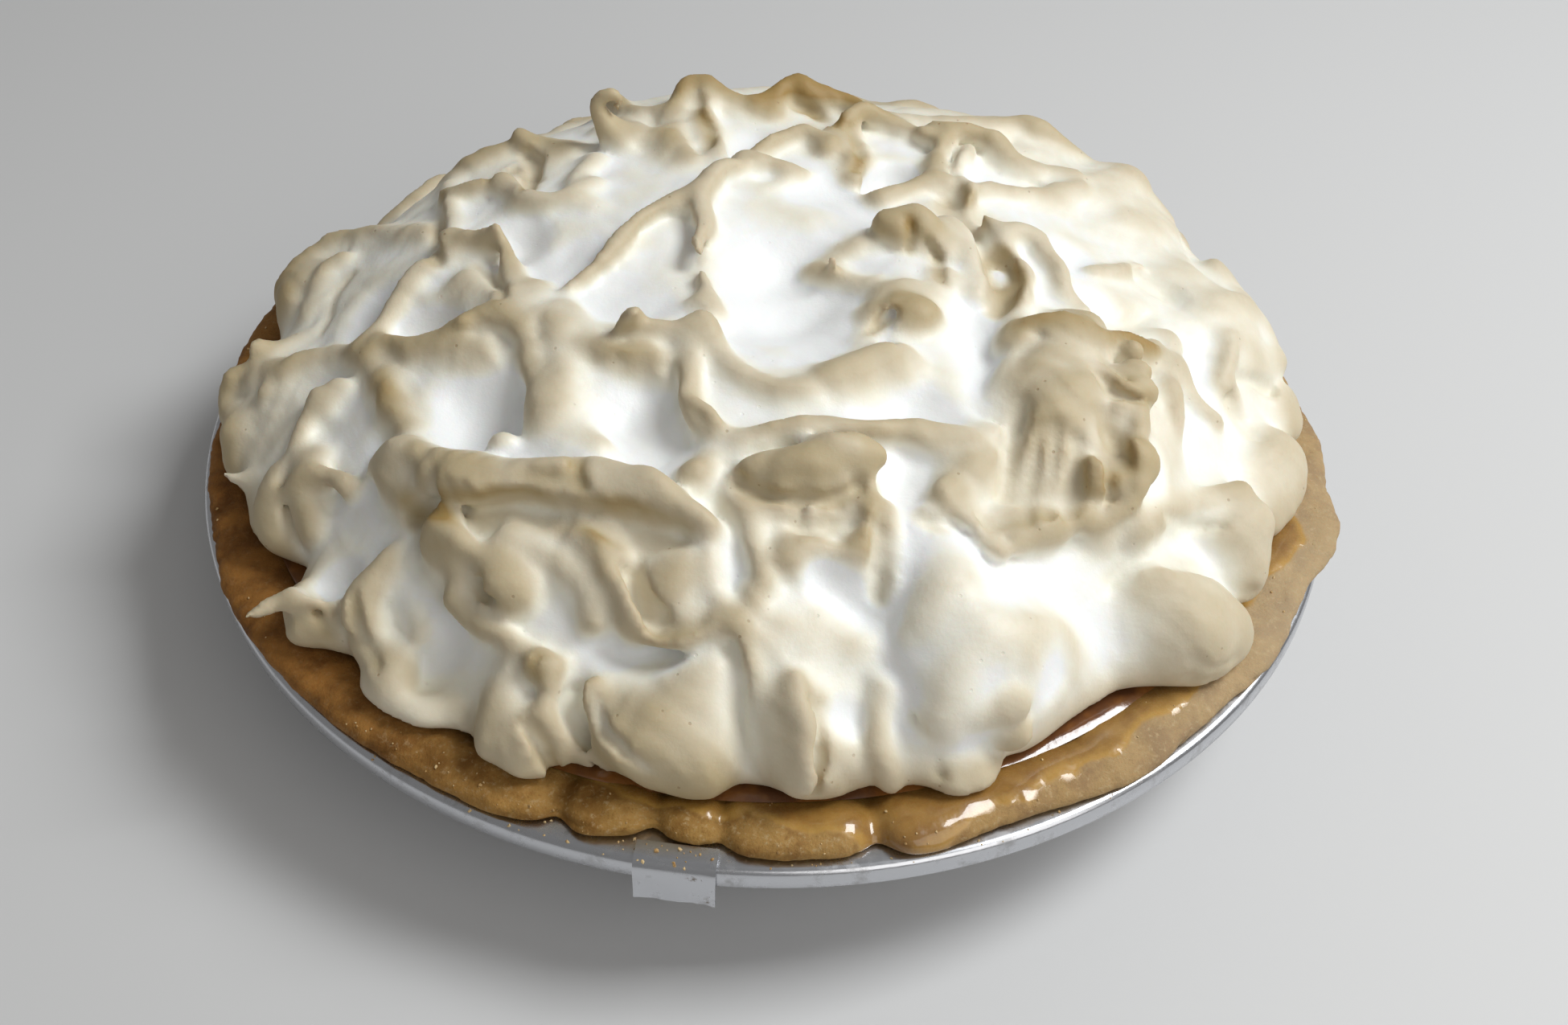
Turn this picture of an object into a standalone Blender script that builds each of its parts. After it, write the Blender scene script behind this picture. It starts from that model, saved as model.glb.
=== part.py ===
"""A lemon meringue pie in its own metal tin.

The pie stands on the table at z = 0, with its origin at the middle of the tin's flat base,
+Z up and the front of the pie, where the tin's release tab hangs, towards -Y.
Sizes are in millimetres and are turned into metres as each mesh is made.
"""

import math

import bmesh
import bpy
import numpy as np
from mathutils import Euler

MM = 0.001
GAP = 0.3

# Tin: a pressed sheet with a flared wall, a flat rim and an edge that is turned down.
RIM_HEIGHT = 32.0
RIM_RADIUS = 125.0
BASE_RADIUS = 93.0
WALL_TOP_RADIUS = 113.0
SHEET = 0.8
LIP_DEPTH = 4.6
TIN_STEPS = 56

# Release tab: the end of a thin strip that comes from under the crust and hangs over the rim.
TAB_ANGLE = math.radians(-96.5)
TAB_WIDTH = 15.0
TAB_DROP = 9.0
TAB_INSET = 4.6

# Crust: a shell of shortcrust that lines the tin and lies over its rim.
CRUST_THICKNESS = 4.6
CRUST_TOP = RIM_HEIGHT + 4.6
CRUST_EDGE_RADIUS = 122.6
CRUST_STEPS = 84

# Filling: a disc of lemon curd whose syrup has run over the inner edge of the crust.
FILLING_TOP = RIM_HEIGHT + 4.6
FILLING_RADIUS = 113.0
FILLING_STEPS = 48

# Meringue: a mound, built up and hollowed by strokes of a spoon.
MERINGUE_FOOT = CRUST_TOP + 0.4
MOUND_RADIUS = 109.5
MOUND_HEIGHT = 43.0
MOUND_SIDE_POWER = 2.6
MOUND_TOP_POWER = 1.6


# ---------------------------------------------------------------- meshes and materials


def material(name, color, roughness, metallic=0.0):
    made = bpy.data.materials.new(name)
    made.use_nodes = True
    shader = made.node_tree.nodes["Principled BSDF"]
    shader.inputs["Base Color"].default_value = (*color, 1.0)
    shader.inputs["Roughness"].default_value = roughness
    shader.inputs["Metallic"].default_value = metallic
    return made


def finish(name, bm, made_of, sharp_angle=50):
    """Turns a bmesh in millimetres into a named, smooth-shaded object in metres."""
    bmesh.ops.scale(bm, vec=(MM, MM, MM), verts=bm.verts)
    bmesh.ops.recalc_face_normals(bm, faces=bm.faces)
    mesh = bpy.data.meshes.new(name)
    bm.to_mesh(mesh)
    bm.free()
    mesh.shade_smooth()
    mesh.set_sharp_from_angle(angle=math.radians(sharp_angle))
    mesh.materials.append(made_of)
    node = bpy.data.objects.new(name, mesh)
    bpy.context.collection.objects.link(node)
    return node


def turned(profile, steps):
    """A closed turned form: profile runs from the axis, out and back to the axis."""
    bm = bmesh.new()
    points = [bm.verts.new((radius, 0.0, height)) for radius, height in profile]
    edges = [bm.edges.new(pair) for pair in zip(points, points[1:])]
    bmesh.ops.spin(
        bm,
        geom=points + edges,
        cent=(0, 0, 0),
        axis=(0, 0, 1),
        angle=math.tau,
        steps=steps,
        use_merge=True,
    )
    bmesh.ops.remove_doubles(bm, verts=bm.verts, dist=0.01)
    return bm


# ---------------------------------------------------------------- tin and tab


def wall_radius(height, inset):
    """Radius of the tin's flared wall at a height, moved inwards by a wall thickness."""
    flare = (WALL_TOP_RADIUS - BASE_RADIUS) / RIM_HEIGHT
    return BASE_RADIUS + flare * height - inset * math.hypot(1.0, flare)


def make_tin(metal):
    rim = RIM_HEIGHT
    under = rim - SHEET
    profile = [
        (0.0, 0.0),
        (BASE_RADIUS - 1.6, 0.0),
        (wall_radius(1.4, 0.0), 1.4),
        (wall_radius(under - 1.2, 0.0), under - 1.2),
        (WALL_TOP_RADIUS + 1.6, under),
        (RIM_RADIUS - SHEET - 0.9, under),
        (RIM_RADIUS - SHEET, under - 0.9),
        (RIM_RADIUS - SHEET, rim - LIP_DEPTH),
        (RIM_RADIUS, rim - LIP_DEPTH),
        (RIM_RADIUS, rim - 1.2),
        (RIM_RADIUS - 1.2, rim),
        (WALL_TOP_RADIUS + 1.0, rim),
        (wall_radius(rim - 1.4, SHEET), rim - 1.4),
        (wall_radius(2.2, SHEET), 2.2),
        (BASE_RADIUS - 2.4, SHEET),
        (0.0, SHEET),
    ]
    return finish("pie_tin", turned(profile, TIN_STEPS), metal)


def make_tab(metal):
    """A bent strip: it lies on the rim, turns over the edge and hangs down outside the lip."""
    top = RIM_HEIGHT + GAP
    out = RIM_RADIUS + GAP
    fall = RIM_HEIGHT - TAB_DROP
    path = [
        (out - TAB_INSET, top),
        (out - 1.0, top),
        (out - 0.2, top - 0.8),
        (out, top - 1.8),
        (out, fall),
        (out + SHEET, fall),
        (out + SHEET, top - 1.6),
        (out + 0.5, top - 0.2),
        (out - 0.6, top + SHEET),
        (out - TAB_INSET, top + SHEET),
    ]
    bm = bmesh.new()
    side = bm.faces.new([bm.verts.new((radius, -TAB_WIDTH / 2, z)) for radius, z in path])
    pulled = bmesh.ops.extrude_face_region(bm, geom=[side])
    moved = [item for item in pulled["geom"] if isinstance(item, bmesh.types.BMVert)]
    bmesh.ops.translate(bm, vec=(0, TAB_WIDTH, 0), verts=moved)
    turn = Euler((0, 0, TAB_ANGLE)).to_matrix()
    bmesh.ops.rotate(bm, cent=(0, 0, 0), matrix=turn, verts=bm.verts)
    return finish("release_tab", bm, metal, sharp_angle=30)


# ---------------------------------------------------------------- crust and filling


def bump(angle, middle, width):
    """A smooth bump of height 1 round the rim, at an angle in degrees and that many wide."""
    away = (math.degrees(angle) - middle + 180.0) % 360.0 - 180.0
    return math.exp(-((away / width) ** 2))


# (angle in degrees, width in degrees, reach in mm): where the dough bulges or falls short.
CRUST_BULGES = [
    (-16, 7, 5.8),
    (-4, 6, 2.2),
    (-34, 9, 1.4),
    (-56, 9, 1.2),
    (-75, 6, 1.6),
    (-96, 6, -2.6),
    (-122, 11, 2.0),
    (-150, 16, 2.2),
    (170, 18, 1.6),
    (120, 20, 1.4),
    (60, 16, 1.2),
    (25, 9, 2.0),
]
# (angle, width, depth in mm): joins and cracks that cut across the rim.
CRUST_CRACKS = [(-107.5, 1.6, 2.6), (-99.0, 1.4, 2.2), (-93.0, 1.4, 1.4), (-79.5, 1.8, 2.8)]
CRUST_RIPPLES = [(7, 0.5, 0.35), (13, 0.35, 1.9), (19, 0.3, 0.8)]


def crust_edge(angle):
    reach = CRUST_EDGE_RADIUS
    reach += sum(size * bump(angle, middle, width) for middle, width, size in CRUST_BULGES)
    reach -= sum(depth * bump(angle, middle, width) for middle, width, depth in CRUST_CRACKS)
    reach += sum(size * math.sin(count * angle + start) for count, size, start in CRUST_RIPPLES)
    return reach


def crust_sag(angle):
    """How far the top of the rim sinks below its full height."""
    sag = sum(0.5 * depth * bump(angle, middle, width) for middle, width, depth in CRUST_CRACKS)
    waves = sum(size * math.sin((count + 4) * angle + start) for count, size, start in CRUST_RIPPLES)
    return sag + 0.5 + 0.4 * waves


def make_crust(dough):
    rim = RIM_HEIGHT + GAP
    gap = SHEET + GAP
    floor = SHEET + GAP
    inside = gap + CRUST_THICKNESS
    edge = CRUST_EDGE_RADIUS
    # (radius, height, share of the edge's bulge, share of the rim's sag)
    profile = [
        (0.0, floor, 0.0, 0.0),
        (BASE_RADIUS - 3.2, floor, 0.0, 0.0),
        (wall_radius(RIM_HEIGHT - 1.2, gap), RIM_HEIGHT - 1.2, 0.0, 0.0),
        (WALL_TOP_RADIUS + 0.6, rim, 0.0, 0.0),
        (edge - 1.8, rim, 1.0, 0.0),
        (edge, rim + 1.4, 1.0, 0.3),
        (edge - 1.2, rim + 3.2, 1.0, 0.7),
        (edge - 4.4, CRUST_TOP, 0.6, 1.0),
        (edge - 8.4, CRUST_TOP - 0.4, 0.2, 0.6),
        (wall_radius(RIM_HEIGHT, inside) + 1.6, RIM_HEIGHT + 1.6, 0.0, 0.0),
        (wall_radius(RIM_HEIGHT - 2.0, inside), RIM_HEIGHT - 2.0, 0.0, 0.0),
        (wall_radius(8.0, inside), floor + CRUST_THICKNESS + 2.0, 0.0, 0.0),
        (BASE_RADIUS - 10.0, floor + CRUST_THICKNESS, 0.0, 0.0),
        (0.0, floor + CRUST_THICKNESS, 0.0, 0.0),
    ]
    bm = turned([(radius, height) for radius, height, _, _ in profile], CRUST_STEPS)
    shares = {(round(r, 2), round(z, 2)): (out, down) for r, z, out, down in profile}
    for vert in bm.verts:
        radius = math.hypot(vert.co.x, vert.co.y)
        out, down = shares[(round(radius, 2), round(vert.co.z, 2))]
        angle = math.atan2(vert.co.y, vert.co.x)
        if out:
            grown = 1.0 + out * (crust_edge(angle) - edge) / radius
            vert.co.x *= grown
            vert.co.y *= grown
        vert.co.z -= down * crust_sag(angle)
    return finish("crust", bm, dough)


def make_filling(curd):
    gap = SHEET + 2 * GAP + CRUST_THICKNESS
    floor = SHEET + 2 * GAP + CRUST_THICKNESS
    profile = [
        (0.0, floor),
        (BASE_RADIUS - 10.6, floor),
        (wall_radius(8.4, gap), floor + 2.4),
        (wall_radius(RIM_HEIGHT - 2.0, gap), RIM_HEIGHT - 2.0),
        (wall_radius(RIM_HEIGHT, gap) + 1.2, RIM_HEIGHT + 2.1),
        (FILLING_RADIUS - 0.8, CRUST_TOP - 0.6),
        (FILLING_RADIUS - 3.4, FILLING_TOP),
        (0.0, FILLING_TOP),
    ]
    return finish("lemon_filling", turned(profile, FILLING_STEPS), curd)


# ---------------------------------------------------------------- meringue


def smooth_join(a, b, soft):
    """The lower of two distances, with the valley between the two shapes filled softly."""
    share = np.clip(0.5 + 0.5 * (b - a) / soft, 0.0, 1.0)
    return b * (1.0 - share) + a * share - soft * share * (1.0 - share)


def turned_axes(turn, pitch):
    """Rows are a shape's own axes: its length points along turn and rises by pitch."""
    return np.array(Euler((0, -math.radians(pitch), math.radians(turn))).to_matrix()).T


class Stroke:
    """One movement of the spoon: it adds meringue, or with adds=False takes it away."""

    def __init__(self, adds, soft, low, high, distance):
        self.adds = adds
        self.soft = soft
        self.low = np.asarray(low, float) - soft - 4.0
        self.high = np.asarray(high, float) + soft + 4.0
        self.distance = distance

    def work(self, field, x, y, z):
        tool = self.distance(x, y, z)
        if self.adds:
            return smooth_join(field, tool, self.soft)
        return -smooth_join(-field, tool, self.soft)


def ball(at, size, turn=0.0, pitch=0.0, soft=6.0, adds=True):
    """An egg-shaped heap: at is its middle and size its three half lengths."""
    middle = np.array(at, float)
    half = np.array(size, float)
    axes = turned_axes(turn, pitch)

    def distance(x, y, z):
        dx, dy, dz = x - middle[0], y - middle[1], z - middle[2]
        near, far = 0.0, 0.0
        for row, length in zip(axes, half):
            along = (row[0] * dx + row[1] * dy + row[2] * dz) / length
            near = near + along * along
            far = far + (along / length) ** 2
        near = np.sqrt(near)
        return near * (near - 1.0) / np.maximum(np.sqrt(far), 1e-4)

    reach = half.max()
    return Stroke(adds, soft, middle - reach, middle + reach, distance)


def scoop(at, size, turn=0.0, pitch=0.0, soft=5.0):
    """An egg-shaped hollow."""
    return ball(at, size, turn, pitch, soft, adds=False)


def smooth_route(points, between=3):
    """A rounded curve through points (x, y, z, thickness)."""
    points = np.array(points, float)
    padded = np.vstack([2 * points[0] - points[1], points, 2 * points[-1] - points[-2]])
    route = []
    for i in range(len(points) - 1):
        a, b, c, d = padded[i : i + 4]
        for t in np.arange(between) / between:
            bend = (2 * a - 5 * b + 4 * c - d) * t * t + (3 * b - a - 3 * c + d) * t**3
            route.append(0.5 * (2 * b + (c - a) * t + bend))
    route.append(points[-1])
    return np.array(route)


def rope(*points, soft=7.0, adds=True):
    """A rounded ridge along a curve; each point is x, y, z and the ridge's thickness there."""
    route = smooth_route(points)

    def distance(x, y, z):
        best = 1e9
        for a, b in zip(route, route[1:]):
            ab = b[:3] - a[:3]
            dx, dy, dz = x - a[0], y - a[1], z - a[2]
            t = (dx * ab[0] + dy * ab[1] + dz * ab[2]) / max(ab @ ab, 1e-6)
            t = np.clip(t, 0.0, 1.0)
            gone = (dx - t * ab[0]) ** 2 + (dy - t * ab[1]) ** 2 + (dz - t * ab[2]) ** 2
            best = np.minimum(best, np.sqrt(gone) - (a[3] + t * (b[3] - a[3])))
        return best

    thick = route[:, 3].max()
    low = route[:, :3].min(axis=0) - thick
    high = route[:, :3].max(axis=0) + thick
    return Stroke(adds, soft, low, high, distance)


def crease(*points, soft=2.5):
    """A rounded groove along a curve."""
    return rope(*points, soft=soft, adds=False)


def wobble(x, y, z):
    """Moves places a little, so that no form is quite regular."""
    return (
        x + 1.1 * np.sin(y / 8.0 + z / 9.0 + 0.4) + 0.7 * np.sin(y / 3.3 - x / 7.0 + 2.0),
        y + 1.1 * np.sin(x / 8.5 - z / 8.0 + 1.7) + 0.7 * np.sin(x / 3.6 + y / 6.0 + 4.1),
        z + 0.9 * np.sin(x / 7.0 + y / 9.0 + 2.6) + 0.5 * np.sin(x / 3.9 - y / 3.1),
    )


# Places are x, y and the height above the tin's rim, in mm.
STROKES = [
    # the big heaps
    ball((94.5, 12, 12), (18, 31, 20), 8, soft=9),
    ball((74.5, 43, 18.5), (22.5, 23, 19), -40, soft=10),
    ball((40, 60.5, 21.5), (34, 21.5, 19.5), -15, soft=10),
    ball((-10, 62, 25), (34, 24, 18), 0, soft=10),
    ball((-59.5, 41, 17), (25, 21, 17.5), 40, soft=9),
    ball((-95, 16, 9), (16, 22, 14), 10, soft=7),
    ball((-98, -22, 8), (15, 31, 14), 8, soft=7),
    ball((-78, -69, 6), (14, 14, 11), 30, soft=6),
    ball((-65, -89, 3), (13, 9, 7), -25, soft=3),
    ball((-43, -98, 6), (9, 10, 10), 0, soft=5),
    ball((-11, -97, 10), (16, 14, 16), 0, soft=4),
    ball((-29, -97, 6), (8, 9, 9), 0, soft=3),
    ball((10, -100, 8), (12, 12, 14), 0, soft=6),
    ball((30, -98, 7), (12, 12, 12), 0, soft=6),
    ball((40, -88, 14), (18, 16, 18), 0, soft=7),
    ball((76, -69, 8), (19.5, 15, 17), -25, soft=4),
    ball((92, -50, 12), (14, 10, 11), -50, soft=4),
    ball((103, -26, 7), (12, 16, 13), -15, soft=4),
    ball((62, -40, 26), (20, 26, 18), 0, soft=8),
    # the large white hollows
    scoop((4, -13, 60), (22, 29, 19), 0, soft=6),
    scoop((17, 19, 59), (20, 13, 13), -30, soft=6),
    scoop((43, -29, 56), (6, 25, 14), 5, soft=5),
    scoop((-30, -21, 55), (12, 20, 10), -35),
    scoop((-46, -8, 55.5), (14, 18, 10), -20),
    scoop((-59, 5, 49), (11, 12, 9), soft=4),
    scoop((-58, -46.5, 42), (14, 12, 10), soft=4),
    scoop((-26, -55, 46.5), (12, 14, 10), soft=4),
    scoop((-86.5, -7.5, 37), (8, 12, 9), -15, soft=4),
    scoop((-72.5, -18, 39.5), (9, 8, 8), 30, soft=3),
    scoop((-77.5, -63, 34.5), (6, 22, 9), -10, soft=4),
    scoop((-63, -91, 20), (9, 7, 12), soft=4),
    scoop((54, -98, 37.5), (5, 8, 20), soft=3),
    scoop((28, -52, 49), (12, 12, 9)),
    scoop((90.5, -21, 33), (8, 11, 7), 15, soft=3),
    scoop((69, -11, 43.5), (9, 9, 7), soft=4),
    scoop((66, 7, 46.5), (8, 10, 7), 20, soft=3),
    scoop((28, 29.5, 48), (10, 9, 9), -10, soft=3),
    scoop((-7, 40.5, 50), (8, 9, 7), soft=4),
    scoop((-6, -86, 41.5), (4, 5, 12), soft=2.5),
    scoop((-23, -91, 27), (13, 6, 8), soft=3),
    # back left lobe and its neighbours
    rope(
        (-109, 13.5, 14, 2.5), (-110, 25.5, 15, 3), (-104.5, 31, 18, 3), (-96.5, 33, 21.5, 3),
        (-86.5, 26.5, 26.5, 2.5), (-76, 17, 34, 2), soft=5.6,
    ),
    rope(
        (-81.5, -18, 32, 1.5), (-81, -14.5, 35, 1.5), (-80, -7.5, 36.5, 2), (-76.5, -0.5, 37.5, 2),
        (-72, 2, 38.5, 2), (-69.5, 7.5, 38.5, 1.5), soft=3.8,
    ),
    rope(
        (-82, -18, 31.5, 2.5), (-92.5, -16.5, 25.5, 2.5), (-102, -18, 21.5, 2.5),
        (-112, -11, 15, 2.5), soft=4.7,
    ),
    rope(
        (-98.5, -3, 18.5, 4), (-105.5, -8.5, 18.5, 3), (-109.5, -9.5, 20.5, 2),
        (-110.5, -10, 22, 1), soft=3,
    ),
    rope((-115.5, -13.5, 16, 2), (-116.5, -16.5, 13, 2.5), (-115, -28.5, 14, 2.5), soft=4.7),
    rope(
        (-73.5, 46, 31, 2.5), (-68.5, 48, 32.5, 3), (-62, 52, 35, 3), (-55.5, 49, 38.5, 3),
        (-47.5, 42.5, 39.5, 2.5), soft=5.6,
    ),
    ball((-67, 49, 29.5), (11, 8, 7), soft=2),
    crease((-56, 28, 45.5, 2), (-54.5, 36, 44.5, 2), (-54.5, 39.5, 44.5, 1.5), soft=2),
    rope((-75.5, 39.5, 34.5, 1.5), (-71, 25, 38, 2), (-70.5, 10, 38.5, 2), soft=3.8),
    rope(
        (-59.5, 27.5, 42.5, 1.5), (-55.5, 20.5, 44, 2), (-49.5, 16.5, 45.5, 2), (-44.5, 17, 46, 2),
        (-39, 22, 45.5, 2), soft=4.2,
    ),
    ball((-64.5, 6, 38), (8, 7, 5), 10, soft=2),
    ball((-50.5, -14, 42.5), (5.5, 4.5, 4), soft=1.5),
    # the two windows on the left
    rope(
        (-80.5, -20.5, 32, 2), (-77.5, -22, 35.5, 2), (-73, -25, 38.5, 1.5), (-67, -24, 40, 1.5),
        (-62.5, -23.5, 42, 1.5), (-61, -24.5, 44, 1), soft=3.8,
    ),
    rope(
        (-61.5, -23.5, 41.5, 1.5), (-59, -21.5, 42, 2), (-54.5, -23, 44, 2), (-50, -26, 45, 2),
        (-47.5, -30.5, 43.5, 2), (-47, -35.5, 41.5, 2), (-45, -42, 41.5, 2), (-44, -47.5, 39.5, 2),
        (-46.5, -51.5, 38, 2), soft=3.8,
    ),
    rope((-71.5, -26, 36, 2.5), (-63.5, -27.5, 38, 2.5), (-56, -28.5, 39.5, 2.5), soft=4.7),
    rope(
        (-52.5, -19.5, 42, 2.5), (-43.5, -25, 44, 3), (-40.5, -33, 43.5, 3), (-39.5, -42, 42, 2.5),
        (-42, -48, 39.5, 2.5), soft=4.7,
    ),
    rope(
        (-82, -21.5, 30.5, 2.5), (-78.5, -30, 33, 2.5), (-74.5, -38, 32.5, 2.5),
        (-73, -44, 31.5, 2.5), soft=4.7,
    ),
    ball((-24, -32, 44), (11, 6, 4), soft=3),
    crease((-18.5, -43, 48, 2.5), (-18, -48, 45, 2.5), (-17, -54, 43.5, 2), soft=2),
    rope(
        (-12, -30, 48, 2), (-15.5, -39, 48, 2), (-15.5, -48, 46, 2), (-14.5, -52.5, 45.5, 2),
        (-12, -55.5, 44, 2), (-5.5, -59.5, 42.5, 2), soft=4.0,
    ),
    # back middle: curl, peaks and swirl
    rope(
        (-36.5, 43.5, 45, 4.5), (-40, 45, 50, 3), (-41.5, 45.5, 54.5, 2), (-40, 46, 57.5, 1.5),
        (-37.5, 46, 58.5, 1.5), (-36, 46, 57.5, 1), (-36.5, 45.5, 55.5, 1), soft=2.2,
    ),
    rope(
        (-42.5, 73.5, 36, 2), (-37, 64, 40, 2), (-32.5, 56.5, 41.5, 2), (-26, 54, 43, 2), soft=4.2,
    ),
    rope(
        (-41, 55.5, 39, 2.5), (-33.5, 46.5, 43.5, 3), (-28, 41, 44, 2.5), (-22, 34, 46.5, 2),
        (-19, 31.5, 46, 1.5), soft=4.2,
    ),
    rope(
        (-25.5, 37, 43.5, 2.5), (-24.5, 50, 43.5, 2.5), (-23, 59.5, 46, 2.5), (-19.5, 64, 48, 2.5),
        (-16, 63, 49, 2.5), (-11, 61, 47, 2.5), (-4.5, 60, 45, 2.5), soft=4.7,
    ),
    crease((-19, 48.5, 52, 1.5), (-19, 43.5, 50.5, 2.5), (-17, 35.5, 48.5, 2), soft=1.5),
    rope((-16.5, 58.5, 47.5, 2), (-17, 46.5, 46, 2), (-13, 34.5, 45.5, 2), soft=4.2),
    rope(
        (-2.5, 59.5, 45, 2), (0.5, 65, 45.5, 2.5), (4.5, 67.5, 45.5, 3), (11, 65.5, 44, 3),
        (17.5, 66, 43, 3), (21, 59, 42, 2.5), soft=4.7,
    ),
    ball((3.5, 43, 43.5), (9, 6, 4), soft=2.5),
    rope(
        (9.5, 38, 48, 1.5), (13, 47, 47, 2), (16.5, 50.5, 47, 2), (20.5, 54, 47.5, 2),
        (24.5, 55, 46, 2), (29.5, 54, 44.5, 2), (36, 49.5, 43, 2), soft=3.8,
    ),
    rope((16, 47, 44.5, 2.5), (15.5, 37.5, 45, 2.5), (18.5, 29, 47, 2), soft=4.2),
    ball((10.5, 43, 41), (8, 8, 5), soft=2.5),
    rope(
        (22, 58, 42, 2), (31, 59, 42.5, 2.5), (41.5, 61, 41.5, 2.5), (51, 61.5, 39.5, 2.5),
        (62, 63.5, 39, 3), soft=4.7,
    ),
    rope(
        (36.5, 31.5, 43.5, 2), (36, 41.5, 45, 2), (37.5, 47.5, 47, 2), (43.5, 52, 47, 2),
        (48.5, 51, 45, 2), (52.5, 47.5, 42, 2), (56.5, 44, 40, 2), soft=3.8,
    ),
    scoop((38.5, 24, 50.5), (4, 6, 5), soft=1.5),
    rope(
        (43, 45, 45, 2), (42.5, 33, 46, 2), (44.5, 21, 45.5, 2), (45, 14, 47, 2),
        (48, 11.5, 45.5, 2), (52.5, 13, 43.5, 2), soft=3.8,
    ),
    crease((40, 23, 46.5, 3), (41.5, 13.5, 47, 3), (43, 5.5, 47.5, 3), (46, -3.5, 48, 3), soft=3),
    # the ridges of the middle bowl
    rope(
        (-20.5, 13, 49, 2), (-15, 18, 50, 2.5), (-12, 23, 51, 2), (-9.5, 26, 49.5, 2),
        (-6, 31.5, 47.5, 1.5), soft=3.8,
    ),
    rope(
        (-13.5, 19.5, 51.5, 2), (-14.5, 8.5, 51.5, 2), (-16.5, -4, 51, 2), (-16.5, -12.5, 49, 2),
        (-15.5, -18.5, 47.5, 2), (-10.5, -23.5, 45, 2), soft=3.8,
    ),
    crease((-19.5, 1.5, 50, 2), (-19, -9, 48.5, 2.5), (-18, -16.5, 49, 2), soft=3),
    rope(
        (-14.5, 16, 50.5, 2), (-21, 9, 50.5, 2), (-27, 4, 49, 1.5), (-33.5, -3.5, 48.5, 1.5),
        (-38, -11.5, 48.5, 1.5), (-41.5, -15, 47, 1.5), soft=3.4,
    ),
    rope(
        (-12, -30.5, 47.5, 2), (-8.5, -38, 46, 2), (-2, -43, 46, 2), (3.5, -46, 45.5, 2),
        (10, -45, 45.5, 2), (17, -39.5, 47, 2), (23, -37, 47.5, 2), (27.5, -35.5, 46, 2), soft=4.2,
    ),
    ball((8, -44.5, 41.5), (11, 5, 4), soft=3),
    rope((13.5, -41.5, 45, 2.5), (18.5, -41, 45, 3), (24, -39.5, 45.5, 2.5), soft=4.7),
    ball((26, 2.5, 49), (5, 5, 5), soft=1.3),
    ball((30.5, 4, 50.5), (5, 5, 5), soft=1.3),
    ball((35, 0.5, 46), (7.5, 9, 9), 5, soft=1.6),
    ball((28, -21, 44.5), (6, 9, 7), -20, soft=1.5),
    # back right folds
    rope((62, 62, 39.5, 2.5), (67.5, 60, 36, 2.5), (73.5, 59.5, 31.5, 2.5), soft=4.7),
    ball((79.5, 52, 32.5), (8, 8, 5), soft=2.5),
    crease((54.5, 55, 42, 2), (58.5, 50, 41.5, 2), (61, 48.5, 40.5, 1.5), soft=2),
    rope(
        (49, 52, 44, 2), (53.5, 44, 43.5, 2), (58, 41.5, 41.5, 2), (66.5, 40.5, 38.5, 2), soft=3.8,
    ),
    scoop((46, 34.5, 48.5), (5, 7, 5), soft=2),
    rope(
        (47, 29.5, 45, 1.5), (53.5, 27.5, 44.5, 1.5), (60, 30.5, 43, 1.5), (68.5, 34.5, 40, 2),
        (76, 34.5, 38.5, 2), soft=3.4,
    ),
    ball((59.5, 31, 37), (10, 7, 5), soft=2),
    rope(
        (48.5, 9, 45, 2), (53, 11.5, 44.5, 2), (58, 9, 44, 2), (59, 2, 43.5, 2),
        (59.5, -6.5, 41.5, 2), (65, -12.5, 40.5, 2), soft=3.8,
    ),
    rope(
        (49, 4, 45.5, 1.5), (49.5, -4, 47, 1.5), (50, -11.5, 46.5, 1.5), (51, -19, 46.5, 1.5),
        (48.5, -32.5, 43.5, 2), (45, -41.5, 41, 2), soft=3.4,
    ),
    crease((47, 0.5, 45.5, 3), (47, -6.5, 47, 3), (46.5, -14, 46.5, 3), soft=2),
    ball((89, 46.5, 22), (17, 15, 7), soft=3),
    crease((81.5, 12, 34, 2.5), (85, 10, 33, 2.5), (88, 6, 33, 1.5), soft=3),
    crease((73, -10, 38, 2.5), (76.5, -9, 36.5, 2.5), (81, -1.5, 36.5, 2), soft=3),
    ball((94, 10.5, 24), (15, 12, 6), -15, soft=3),
    ball((107, 9, 17), (9, 13, 7), 10, soft=3),
    ball((100.5, 24.5, 24.5), (9, 8, 6), -40, soft=3),
    crease((99, 38, 26.5, 2), (99, 20, 32, 2.5), (101.5, 15, 31.5, 2), soft=3),
    rope(
        (84.5, -8, 33.5, 2), (85.5, -20, 32.5, 2), (88.5, -24.5, 29.5, 2), (92.5, -25.5, 26, 2),
        soft=3.8,
    ),
    ball((112, -5, 10), (8.5, 8, 7), soft=1.8),
    crease((99.5, -18, 24.5, 1.5), (101.5, -21.5, 22.5, 2), (102.5, -25, 20.5, 1.5), soft=1.6),
    ball((108.5, -24.5, 7), (7, 12, 8), soft=1.8),
    ball((96.5, -27, 10), (10, 12, 8), 15, soft=2),
    # the big sheet on the right
    rope(
        (60, -22.5, 39, 9), (59.5, -33.5, 39, 11), (54.5, -46, 34.5, 12.5), (53, -56, 29.5, 11),
        soft=3,
    ),
    ball((84, -19, 26), (7, 8, 10), soft=2.5),
    rope(
        (49, -27.5, 45, 2), (51, -24, 48, 2), (55, -23.5, 49, 2), (61.5, -26.5, 48, 2),
        (67, -29.5, 47, 2), (72.5, -23.5, 42.5, 2), (79, -21, 37.5, 2), soft=3.8,
    ),
    rope((80, -16.5, 35.5, 2), (84, -22, 33.5, 2), (80.5, -36, 36, 2), (83, -43, 30, 2), soft=3.8),
    scoop((88, -40.5, 32.5), (6, 9, 6), soft=3),
    scoop((75, -58.5, 38.5), (4, 8, 6), soft=2.5),
    ball((61.5, -61, 37), (5, 5, 5), soft=1.8),
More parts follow.
